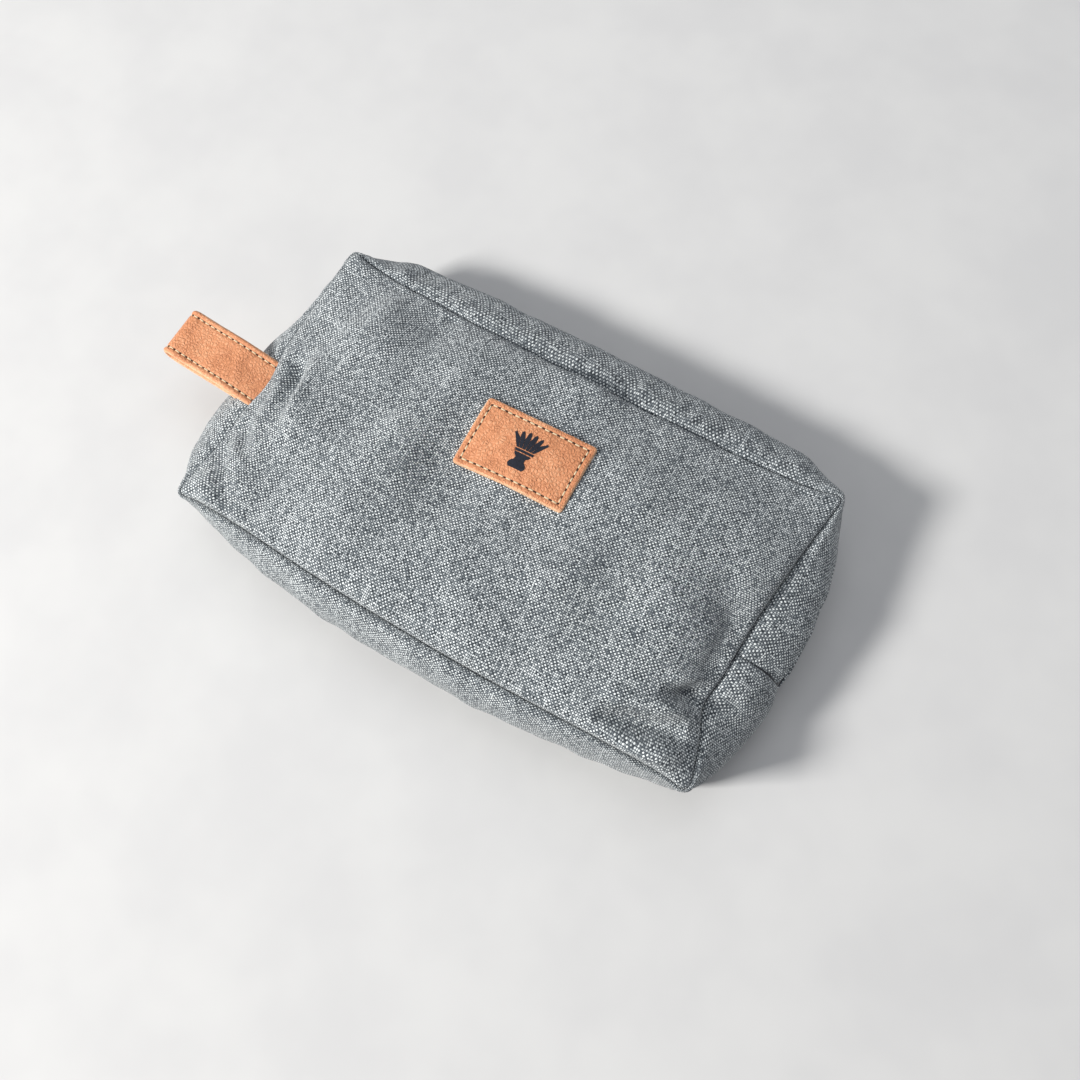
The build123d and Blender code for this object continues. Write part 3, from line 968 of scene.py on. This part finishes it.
bottom_places = rim_places(LEFT_CUT, len(RIM) + RIGHT_CUT, FINE)
bottom_lines = fold_lines(0, DEPTH, 1.2 * MM, seams=(0, DEPTH))
bottom_surface = side_surface(bottom_places, bottom_lines, end_rolls=True)
add_cloth("bottom_gusset_cloth", bottom_surface, CANVAS, "bag", ["bottom_gusset"], "canvas")

top_places = rim_places(RIGHT_CUT, LEFT_CUT, FINE)
for side, seam, fold in (("front", 0, FOLD_FRONT), ("back", DEPTH, FOLD_BACK)):
    lines = fold_lines(min(seam, fold), max(seam, fold), 1.2 * MM, folds=(fold,), seams=(seam,))
    surface = side_surface(top_places, lines, fold=fold, end_rolls=True)
    strip = add_cloth(f"zip_strip_{side}_cloth", surface, CANVAS, None, [f"zip_strip_{side}"], "canvas")
    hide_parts(f"zip_strip_{side}_left", f"zip_strip_{side}_right")
    hang_on_mouth(strip, f"mouth_{side}")


# ---------------------------------------------------------------- zipper
TAPE_LOW, TAPE_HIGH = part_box("zip_tape_left")[0].x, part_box("zip_tape_right")[1].x


def top_at(x):
    """Rim index of a place along the top side."""
    return CELLS_X + CELLS_Y + (PANEL_X - x) / (2 * PANEL_X) * CELLS_X


def add_tape(name, x_from, x_to, depths, node, body):
    """A stretch of zipper tape between two depths, along the top side."""
    places = rim_places(top_at(x_to), top_at(x_from), 1.5 * MM, close_ends=False)
    surface = side_surface(places, np.linspace(*depths, 9), inset=0.4 * MM)
    return add_cloth(name, surface, TAPE, body, [node], "zip_tape", thickness=0.6 * MM)


TAPE_DEPTHS = (20.5 * MM, 37.5 * MM)     # across both tapes, from the front seam
SLIT_DEPTHS = (28.5 * MM, 29.5 * MM)     # between the tapes where the mouth opens
for side, depths in (("front", (TAPE_DEPTHS[0], SLIT_DEPTHS[0])), ("back", (SLIT_DEPTHS[1], TAPE_DEPTHS[1]))):
    tape = add_tape(f"zip_tape_{side}_weave", -MOUTH_X, MOUTH_X, depths, f"zip_tape_{side}", None)
    hang_on_mouth(tape, f"mouth_{side}")
add_tape("zip_tape_left_weave", TAPE_LOW, -MOUTH_X, TAPE_DEPTHS, "zip_tape_left", "bag")
add_tape("zip_tape_right_weave", MOUTH_X, TAPE_HIGH, TAPE_DEPTHS, "zip_tape_right", "bag")


class Solids:
    """Gathers closed rings of points swept into one mesh."""

    def __init__(self):
        self.points, self.faces, self.uvs, self.slots = [], [], [], []

    def sweep(self, rings, u=None, material=0):
        """Joins equal rings of points in order, and closes both ends with a fan."""
        rings = np.asarray(rings)
        count, around = rings.shape[:2]
        base = len(self.points)
        self.points += rings.reshape(-1, 3).tolist() + rings[[0, -1]].mean(1).tolist()
        u = np.arange(count) if u is None else u
        for i in range(count - 1):
            row, following = base + i * around, base + (i + 1) * around
            for n in range(around):
                m = (n + 1) % around
                self.faces.append((row + n, row + m, following + m, following + n))
                v0, v1 = n / around, (n + 1) / around
                self.uvs += [(u[i], v0), (u[i], v1), (u[i + 1], v1), (u[i + 1], v0)]
                self.slots.append(material)
        first, last = base + count * around, base + count * around + 1
        for n in range(around):
            m = (n + 1) % around
            self.faces += [(first, base + m, base + n), (last, first - around + n, first - around + m)]
            self.uvs += [(u[0], 0.5), (u[0], m / around), (u[0], n / around)]
            self.uvs += [(u[-1], 0.5), (u[-1], n / around), (u[-1], m / around)]
            self.slots += [material, material]

    def build(self, name, *materials):
        mesh = bpy.data.meshes.new(name)
        mesh.from_pydata(self.points, [], self.faces)
        mesh.uv_layers.new(name="weave").data.foreach_set("uv", np.array(self.uvs, np.float32).ravel())
        mesh.polygons.foreach_set("use_smooth", [True] * len(self.faces))
        for material in materials:
            mesh.materials.append(material)
        mesh.polygons.foreach_set("material_index", self.slots)
        return add_object(name, mesh)


def rod_rings(path, radius, around, up, flat=1.0):
    """Rings round a path with rounded ends. flat below 1 squashes them along up."""
    path = np.asarray(path)
    tangent = unit(np.gradient(path, axis=0))
    side = unit(np.cross(tangent, np.broadcast_to(np.asarray(up, float), tangent.shape)))
    top = np.cross(side, tangent)
    angle = np.arange(around) / around * 2 * math.pi
    rings = []
    steps = [(0, -0.95, 0.3), (0, -0.7, 0.72)] + [(i, 0.0, 1.0) for i in range(len(path))]
    steps += [(-1, 0.7, 0.72), (-1, 0.95, 0.3)]
    for i, shift, share in steps:
        middle = path[i] + tangent[i] * shift * radius
        around_middle = [math.cos(a) * side[i] + flat * math.sin(a) * top[i] for a in angle]
        rings.append([middle + radius * share * way for way in around_middle])
    return rings


COIL_PITCH = 1.6 * MM


def add_teeth(name, x_from, x_to, side, nodes, body):
    """Loops of nylon coil along one side of the slit, each a small rounded bar across the tape's edge."""
    teeth = Solids()
    middle = 1.35 * MM * side
    for x in np.arange(x_from + COIL_PITCH / 2, x_to, COIL_PITCH) + COIL_PITCH / 4 * side:
        across = np.array([-1.25, -0.7, 0, 0.6, 0.95]) * MM * side * -1
        bow = np.array([-0.45, 0.42, 0.62, 0.5, -0.15]) * MM
        path = np.stack([np.full(5, x), CHAIN_Y + bow, CHAIN_Z + middle + across], -1)
        teeth.sweep(rod_rings(path, 0.52 * MM, 7, up=(0, 1, 0)))
    piece = teeth.build(name, NYLON)
    hand_in(piece, body, "zip_teeth", *nodes)
    return piece


for side, sign in (("front", 1), ("back", -1)):
    row = add_teeth(f"zip_coil_{side}", -MOUTH_X, MOUTH_X, sign, [f"zip_teeth_{side}"], None)
    hang_on_mouth(row, f"mouth_{side}")
    for end, x_from, x_to in (("left", -CHAIN_REACH, -MOUTH_X), ("right", MOUTH_X, CHAIN_REACH)):
        nodes = [f"zip_teeth_{end}"] if side == "front" else []
        add_teeth(f"zip_coil_{side}_{end}", x_from, x_to, sign, nodes, "bag")
for name in ("zip_slider", "zip_pull"):
    bpy.data.objects[name].data.materials.clear()
    bpy.data.objects[name].data.materials.append(METAL)


# ---------------------------------------------------------------- lining and seam bindings
LINING_IN = 2.1 * MM


LINING_STEP = 2.4 * MM


def add_lining(node, surface, body, flip=False):
    return add_cloth(f"{node}_cloth", surface, LINING, body, [node], "lining", flip, 0.35 * MM)


def add_side_lining(node, start, end, lines, body):
    """Lining inside a stretch of the gusset, between two rim indices."""
    places = rim_places(start, end, LINING_STEP, close_ends=False)
    return add_lining(node, side_surface(places, lines, inset=LINING_IN), body)


front_inside = panel_surface(FRONT, FRONT_OUT, 1, LINING_STEP, front_features, LINING_IN)
add_lining("lining_front", front_inside, "bag")
back_inside = panel_surface(BACK, BACK_OUT, -1, 3 * MM, back_features, 1.5 * MM)
add_lining("lining_back", back_inside, "bag", flip=True)
whole_depth = np.linspace(0, DEPTH, 25)
MOUTH_RIGHT, MOUTH_LEFT = top_at(MOUTH_X), top_at(-MOUTH_X)
add_side_lining("lining_bottom", 0, CELLS_X, whole_depth, "bag")
add_side_lining("lining_end_right", CELLS_X, MOUTH_RIGHT, whole_depth, "bag")
add_side_lining("lining_end_left", MOUTH_LEFT, FULL_TURN, whole_depth, "bag")
for side, lines in (("front", np.linspace(0, 24 * MM, 13)), ("back", np.linspace(34 * MM, DEPTH, 13))):
    strip = add_side_lining(f"lining_strip_{side}", MOUTH_RIGHT, MOUTH_LEFT, lines, None)
    hang_on_mouth(strip, f"mouth_{side}")


BINDING_STEP = 1.5 * MM


def add_binding(name, rim, out, node):
    """Folded tape over the raw edges inside a seam, all the way round."""
    places = rim_places(0, len(RIM), BINDING_STEP, close_ends=False)[0][:-1]
    line = resample(rim, places, 0, ring=True)
    out = unit(resample(out, places, 0, ring=True))
    forward = unit(np.roll(line, -1, 0) - np.roll(line, 1, 0))
    across = unit(np.cross(out, forward))
    profile = [(2.6, -0.55), (6.4, -0.75), (7.7, -0.7), (8.3, 0), (7.7, 0.7), (6.4, 0.75), (2.6, 0.55)]
    wobble = (1 + 0.18 * PUCKERS(places * 4 * MM, 0.0))[:, None]
    rings = [line - out * depth * MM + across * aside * MM * wobble for depth, aside in profile]
    rings.append(rings[0])
    points = np.stack(rings, 1)
    points = np.concatenate([points, points[:1]])
    run = np.arange(len(points)) * BINDING_STEP
    across_run = np.array([0, 3.8, 5.1, 6, 7, 8.3, 12.1, 13.2]) * MM
    u, v = run[:, None] + 0 * across_run, across_run[None] + 0 * run[:, None]
    piece = sheet_object(name, points, u, v, thickness=0)
    piece.data.materials.append(BINDING)
    hand_in(piece, "bag", "binding", node)


add_binding("seam_binding_front_tape", ROWS[0], FRONT_OUT, "seam_binding_front")
add_binding("seam_binding_back_tape", ROWS[-1], BACK_OUT, "seam_binding_back")


# ---------------------------------------------------------------- leather loop
LOOP_LOW, LOOP_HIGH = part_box("grab_loop")
LOOP_WIDTH = LOOP_HIGH.y - LOOP_LOW.y
LOOP_THICK = 2.2 * MM
LOOP_STITCH_IN = 3.1 * MM      # stitch line from the strap's edge
LOOP_BEND_START, LOOP_BEND_END = (-0.124, 0, 0.042), (-0.136, 0, 0.042)
STITCH = 3.6 * MM


def spread_evenly(line, count):
    """Evenly spaced points along a line of points, and their lengths from its start."""
    run = np.concatenate([[0], np.cumsum(np.linalg.norm(np.diff(line, axis=0), axis=1))])
    count = count(run[-1]) if callable(count) else count
    even = np.linspace(0, run[-1], count)
    return np.stack([np.interp(even, run, line[:, k]) for k in (0, 1)], -1), even


# the strap's middle layer in x and z, in millimetres: out over the bag's end, round the fold and back
seam_index = FULL_TURN - (PANEL_Y - 8 * MM) / (2 * PANEL_Y) * CELLS_Y
loop_seam = resample(ROWS[0], np.array([seam_index]), 0, True)[0]
ROOT_X, ROOT_Z = loop_seam[0] / MM, loop_seam[2] / MM
UPPER_LEG = [(ROOT_X + 6, ROOT_Z - 1.9), (ROOT_X + 1, ROOT_Z - 1.5), (ROOT_X - 5, ROOT_Z - 0.4)]
UPPER_LEG += [(-136, 38.9), (-144, 39.3), (-152, 39.0), (-160, 38.4), (-168, 38.4)]
FOLD = [(-173, 38.3), (-176, 36.9), (-177, 34.4), (-175.3, 32.2), (-170, 31.6)]
LOWER_LEG = [(-162, 32.2), (-153, 33.2), (-144, 34.2), (-136, 34.8)]
LOWER_LEG += [(ROOT_X - 5, ROOT_Z - 4.0), (ROOT_X + 1, ROOT_Z - 4.2), (ROOT_X + 6, ROOT_Z - 4.6)]
LOOP_LINE = np.array(UPPER_LEG + FOLD + LOWER_LEG) * MM
loop_curve = resample(LOOP_LINE, np.linspace(0, len(LOOP_LINE) - 1, 60 * len(LOOP_LINE)), 0)
loop_path, loop_run = spread_evenly(loop_curve, lambda length: round(length / (0.7 * MM)) + 1)
loop_middle = -8.5 * MM + (loop_path[:, 0] + 122 * MM) / (-55 * MM) * 3.4 * MM
loop_tangent = unit(np.gradient(loop_path, axis=0))
loop_normal = np.stack([loop_tangent[:, 1], -loop_tangent[:, 0]], -1)


def loop_surface(run, across, lift):
    """A point of the strap: length along it, place across it, height over its middle layer."""
    x, z = (np.interp(run, loop_run, loop_path[:, k]) for k in (0, 1))
    nx, nz = (np.interp(run, loop_run, loop_normal[:, k]) for k in (0, 1))
    y = np.interp(run, loop_run, loop_middle)
    return np.stack([x + nx * lift, y + across, z + nz * lift], -1)


def strap_lift(across, run, outside):
    """Height of the leather over the strap's middle layer: puffed edges, a groove under the stitches."""
    from_edge = LOOP_WIDTH / 2 - np.abs(across)
    edge = np.sqrt(np.clip(from_edge / (1.1 * MM), 0, 1))
    puff = 0.22 * MM * bump(from_edge - 1.5 * MM, 0.9 * MM)
    groove = 0.42 * MM * bump(from_edge - LOOP_STITCH_IN, 0.7 * MM)
    pulled = 1 + 0.35 * np.cos(2 * math.pi * run / STITCH)
    relief = 0.10 * MM * WAVES(run * 1.3 + (0 if outside else 0.31), across * 1.3)
    relief = relief + 0.06 * MM * PUCKERS(run, across * 0.7)
    return LOOP_THICK / 2 * edge + (puff - groove * pulled + relief) * edge


def set_worn(piece, values):
    """How worn and pale each point of a leather piece is. Its two end points aren't worn."""
    attribute = piece.data.attributes.new("worn", "FLOAT", "POINT")
    attribute.data.foreach_set("value", np.concatenate([values, [0, 0]]).astype(np.float32))


def add_loop():
    """The folded strap: one tube of leather, with lines closer together near its edges."""
    half = LOOP_WIDTH / 2
    flat = np.linspace(0, math.pi, 56)
    across = -0.55 * half * np.cos(flat) + 0.45 * np.linspace(-half, half, len(flat))
    run = loop_run[:, None] + 0 * across
    wide = across[None] + 0 * run
    top = loop_surface(run, wide, strap_lift(wide, run, True))
    under = loop_surface(run, wide, -strap_lift(wide, run, False))
    rings = np.concatenate([top, under[:, ::-1][:, 1:-1]], 1)
    worn_top = bump(half - np.abs(across), 0.55 * MM)
    worn = np.concatenate([worn_top, worn_top[::-1][1:-1]])
    loop = Solids()
    loop.sweep(rings, u=loop_run / MM)
    piece = loop.build("grab_loop_leather", LEATHER)
    set_worn(piece, 0.8 * np.tile(worn, len(rings)))
    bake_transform(piece, "bag", "loop", start=LOOP_BEND_START, end=LOOP_BEND_END)
    hand_in(piece, None, "leather", "grab_loop")


add_loop()


def sew(solids, start, end, up, radius, hole_shade_radius):
    """One stitch from start to end, dipping into the leather at both ends, with a flat dark disc of painted
    shade at each end standing in for its needle hole.
    """
    start, end, up = np.asarray(start), np.asarray(end), np.asarray(up)
    share = np.linspace(0, 1, 7)[:, None]
    rise = (0.30 * np.sin(math.pi * share) ** 0.6 - 0.22) * MM
    path = start + (end - start) * share + up * rise
    lengths = np.concatenate([[0] * 3, np.linspace(0.4, 2.6, 5), [3] * 3])
    solids.sweep(rod_rings(path, radius, 8, up, flat=0.8), u=lengths)
    along = unit(end - start)
    # painted shade: a flat dark disc at each end of the stitch stands in for the shadow in its needle hole
    for place, way in ((start, -1), (end, 1)):
        middle = place + along * way * 0.42 * MM - up * 0.02 * MM
        hole_shade_path = [middle + along * step * 0.16 * MM for step in (-1, 0, 1)]
        solids.sweep(rod_rings(hole_shade_path, hole_shade_radius, 8, up, flat=0.3), material=1)


def add_loop_stitches():
    """A running stitch down both edges of the strap, on its outside and its inside."""
    stitches = Solids()
    for outside in (True, False):
        for side in (-1, 1):
            across = side * (LOOP_WIDTH / 2 - LOOP_STITCH_IN)
            for run in np.arange(9 * MM, loop_run[-1] - 9 * MM, STITCH):
                lift = float(strap_lift(np.array(across), run, outside)) * (1 if outside else -1)
                ends = [loop_surface(np.array(run + d * MM), across, lift) for d in (-1.15, 1.15)]
                face, over = (loop_surface(np.array(run), across, lift * k) for k in (1, 2))
                sew(stitches, *ends, unit(over - face), 0.32 * MM, 0.34 * MM)
    piece = stitches.build("loop_stitching_thread", THREAD, NEEDLE_HOLE_SHADE)
    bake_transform(piece, "bag", "loop", start=LOOP_BEND_START, end=LOOP_BEND_END)
    hand_in(piece, None, "thread", "loop_stitching")


add_loop_stitches()


# ---------------------------------------------------------------- leather patch
PATCH_SIZE = (53 * MM, 33 * MM)
PATCH_AT = (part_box("patch")[0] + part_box("patch")[1]) / 2
PATCH_TURN = math.radians(1.7)
PATCH_THICK = 1.7 * MM
PATCH_HALF = np.array(PATCH_SIZE) / 2
PATCH_CORNER = 1.6 * MM
PATCH_STITCH_IN = 3.0 * MM     # stitch line from the patch's edge


def patch_plane(s, t):
    """Bag coordinates of a place on the patch, from its middle."""
    x = PATCH_AT.x + s * math.cos(PATCH_TURN) - t * math.sin(PATCH_TURN)
    return x, PATCH_AT.y + s * math.sin(PATCH_TURN) + t * math.cos(PATCH_TURN)


def cloth_heights(s, t):
    """Heights of the front panel's canvas under places on the patch."""
    points = front_surface[0]
    tree = BVHTree.FromPolygons([Vector(p) for p in points.reshape(-1, 3)], grid_quads(points).tolist())
    heights = []
    for x, y in zip(*patch_plane(s, t)):
        heights.append(tree.ray_cast(Vector((x, y, 0.2)), Vector((0, 0, -1)))[0].z)
    return np.array(heights)


def bend_terms(s, t):
    """The powers up to the third of a place on the patch, of which its bend is made."""
    s, t = s / (30 * MM), t / (30 * MM)
    return np.stack([np.ones_like(s), s, t, s * s, s * t, t * t, s**3, s * s * t, s * t * t, t**3], -1)


fit_grid = np.meshgrid(np.linspace(-27, 27, 20) * MM, np.linspace(-17, 17, 13) * MM)
fit_s, fit_t = (places.ravel() for places in fit_grid)
PATCH_BEND = np.linalg.lstsq(bend_terms(fit_s, fit_t), cloth_heights(fit_s, fit_t), rcond=None)[0]


def on_patch(s, t, lift):
    """A point lift above the bent leather's underside."""
    s, t = np.asarray(s, float), np.asarray(t, float)
    base = bend_terms(s, t) @ PATCH_BEND
    step = 0.1 * MM
    slope_s = (bend_terms(s + step, t) @ PATCH_BEND - base) / step
    slope_t = (bend_terms(s, t + step) @ PATCH_BEND - base) / step
    x, y = patch_plane(s, t)
    normal = unit(np.stack([-slope_s, -slope_t, np.ones_like(base)], -1))
    return np.stack([x, y, base], -1) + normal * np.asarray(lift)[..., None]


def patch_edge(s, t):
    """Distance in from the patch's round-cornered outline."""
    qs, qt = np.abs(s) - (PATCH_HALF[0] - PATCH_CORNER), np.abs(t) - (PATCH_HALF[1] - PATCH_CORNER)
    outside = np.hypot(np.maximum(qs, 0), np.maximum(qt, 0))
    return PATCH_CORNER - outside - np.minimum(np.maximum(qs, qt), 0)


def patch_lift(s, t):
    """Height of the leather's face: rounded cut edges, a groove along the stitches, fine creases."""
    inside = np.maximum(patch_edge(s, t), 0)
    share = np.clip(inside / (0.7 * MM), 0, 1)
    edge = np.sqrt(share * (2 - share))
    groove = 0.32 * MM * bump(inside - PATCH_STITCH_IN, 0.5 * MM)
    puff = 0.15 * MM * bump(inside - 1.4 * MM, 0.8 * MM)
    relief = 0.07 * MM * PUCKERS(s, t) + 0.05 * MM * WAVES(s * 2, t * 2)
    return (PATCH_THICK - groove + puff + relief) * edge + 0.4 * MM * (1 - edge)


def patch_outline():
    """Even points round the patch's round-cornered outline, counter-clockwise."""
    outline = []
    for turn, way in enumerate(((1, 1), (-1, 1), (-1, -1), (1, -1))):
        centre = np.array(way) * (PATCH_HALF - PATCH_CORNER)
        for a in np.linspace(0, math.pi / 2, 7) + turn * math.pi / 2:
            outline.append(centre + PATCH_CORNER * np.array([math.cos(a), math.sin(a)]))
    return spread_evenly(np.array(outline + outline[:1]), 300)[0][:-1]


def add_patch():
    """The leather: three rings up its cut edge, then rings from the edge in to its middle."""
    outline = patch_outline()
    rings = []
    for k, z in ((0.9, -0.45), (0.995, -0.4), (1.0, -0.15)):
        rings.append(on_patch(*(outline * k).T, np.full(len(outline), z * MM)))
    shares = np.concatenate([1 - np.array([0, 0.1, 0.3, 0.6]) / 16, np.linspace(0.95, 0.02, 44)])
    for share in shares:
        scale = (PATCH_HALF - (1 - share) * PATCH_HALF[1]) / PATCH_HALF
        ring = (outline * np.where(share > 0.02, scale, share)).T
        rings.append(on_patch(*ring, patch_lift(*ring)))
    patch = Solids()
    patch.sweep(rings)
    piece = patch.build("patch_leather", LEATHER)
    worn = [0.5, 1, 1, 1, 1, 0.9, 0.45, 0.12]
    set_worn(piece, np.repeat(worn + [0] * (len(rings) - len(worn)), len(outline)))
    hand_in(piece, "bag", "leather", "patch")


add_patch()


def add_patch_stitches():
    """A running stitch round the patch, not quite even."""
    stitches = Solids()
    corners = np.array([(-1, -1), (1, -1), (1, 1), (-1, 1), (-1, -1)]) * (PATCH_HALF - PATCH_STITCH_IN)
    for start, end in zip(corners[:-1], corners[1:]):
        count = round(np.linalg.norm(end - start) / STITCH)
        for k in range(count):
            places = (k + 0.5 + np.array([-0.30, 0.30])) / count
            s = start[0] + (end - start)[0] * places + rng.normal(0, 0.05 * MM, 2)
            t = start[1] + (end - start)[1] * places + rng.normal(0, 0.05 * MM, 2)
            sew(stitches, *on_patch(s, t, patch_lift(s, t)), (0, 0, 1), 0.42 * MM, 0.66 * MM)
    piece = stitches.build("patch_stitching_thread", THREAD, NEEDLE_HOLE_SHADE)
    hand_in(piece, "bag", "thread", "patch_stitching")


add_patch_stitches()


def add_emblem():
    """A shaving brush: flared bristles in locks, a collar and a turned handle."""
    shapes = []
    for k in range(6):
        lean = (k - 2.5) / 2.5
        root, tip = 3.6 * lean, 7.4 * lean
        high = 9.3 - 1.9 * lean**2
        right_edge = [(root + 0.6, 0.9), (tip * 0.8 + 1.15, 5.2), (tip + 0.75, high - 0.9)]
        left_edge = [(tip - 0.75, high - 0.8), (tip * 0.8 - 1.15, 5.2)]
        shapes.append([(root - 0.6, 0.9)] + right_edge + [(tip, high)] + left_edge)
    shapes.append([(-4.4, -0.7), (4.4, -0.7), (4.6, 0.4), (-4.6, 0.4)])
    handle = [(3.9, -1.2), (3.4, -2.3), (2.2, -3.3), (2.4, -4.6), (3.7, -5.8), (4.1, -7.2), (3.3, -8.4)]
    shapes.append(handle + [(-x, y) for x, y in reversed(handle)])
    made = bmesh.new()
    for shape in shapes:
        made.faces.new([made.verts.new((x * MM, y * MM, 0)) for x, y in reversed(shape)])
    bmesh.ops.triangulate(made, faces=made.faces[:])
    bmesh.ops.subdivide_edges(made, edges=made.edges[:], cuts=3, use_grid_fill=True)
    mesh = bpy.data.meshes.new("patch_emblem_print")
    made.to_mesh(mesh)
    made.free()
    flat = np.zeros(len(mesh.vertices) * 3)
    mesh.vertices.foreach_get("co", flat)
    s, t = flat.reshape(-1, 3)[:, 0], flat.reshape(-1, 3)[:, 1]
    mesh.vertices.foreach_set("co", on_patch(s, t, patch_lift(s, t) + 0.07 * MM).ravel())
    mesh.materials.append(PRINT)
    piece = add_object("patch_emblem_print", mesh)
    solid = piece.modifiers.new("thickness", "SOLIDIFY")
    solid.thickness = 0.16 * MM
    solid.offset = 0
    apply_modifiers(piece)
    hand_in(piece, "bag", "print", "patch_emblem")


add_emblem()


# ---------------------------------------------------------------- floor, camera and light
FLOOR_REACH = 3.0
floor_mesh = bpy.data.meshes.new("floor")
floor_corners = [(x * FLOOR_REACH, y * FLOOR_REACH, 0) for x, y in ((-1, -1), (1, -1), (1, 1), (-1, 1))]
floor_mesh.from_pydata(floor_corners, [], [(0, 1, 2, 3)])
floor_mesh.materials.append(FLOOR)
floor_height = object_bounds()[0].z - 0.1 * MM
floor = add_object("floor", floor_mesh)
floor.location.z = floor_height

ELEVATION, AZIMUTH, ROLL_ANGLE = (math.radians(a) for a in (72.1, -50.4, -9.4))
TARGET = Vector((0.0239, -0.0108, 0.0406))
DISTANCE = 0.404
back_axis = Vector(
    (math.cos(ELEVATION) * math.cos(AZIMUTH), math.cos(ELEVATION) * math.sin(AZIMUTH), math.sin(ELEVATION))
)
right = (-back_axis).cross(Vector((0, 0, 1))).normalized()
up = right.cross(-back_axis)
camera_x = math.cos(ROLL_ANGLE) * right + math.sin(ROLL_ANGLE) * up
camera_y = -math.sin(ROLL_ANGLE) * right + math.cos(ROLL_ANGLE) * up
camera_data = bpy.data.cameras.new("camera")
camera_data.lens, camera_data.sensor_width = 31.75, 36
camera_data.clip_start = 0.01
camera = add_object("camera", camera_data)
camera_turn = Matrix((camera_x, camera_y, back_axis)).transposed().to_4x4()
camera.matrix_world = Matrix.Translation(TARGET + back_axis * DISTANCE) @ camera_turn
bpy.context.scene.camera = camera


def add_light(name, place, size, power, colour):
    """A square area light at a place given along the picture's right, its top and towards the camera."""
    data = bpy.data.lights.new(name, "AREA")
    data.size, data.energy, data.color = size, power, colour
    light = add_object(name, data)
    light.location = TARGET + camera_x * place[0] + camera_y * place[1] + back_axis * place[2]
    light.rotation_mode = "QUATERNION"
    light.rotation_quaternion = (TARGET - light.location).to_track_quat("-Z", "Y")


add_light("key", (-1.9, -0.10, 1.25), 0.45, 71, (1.0, 0.98, 0.95))
add_light("fill", (0.1, 1.0, 1.1), 1.2, 6.5, (0.95, 0.97, 1.0))
world = bpy.data.worlds.new("studio")
world.use_nodes = True
world.node_tree.nodes["Background"].inputs["Color"].default_value = (0.93, 0.95, 1.0, 1)
world.node_tree.nodes["Background"].inputs["Strength"].default_value = 0.3
bpy.context.scene.world = world
bpy.context.scene.view_settings.view_transform = "Standard"
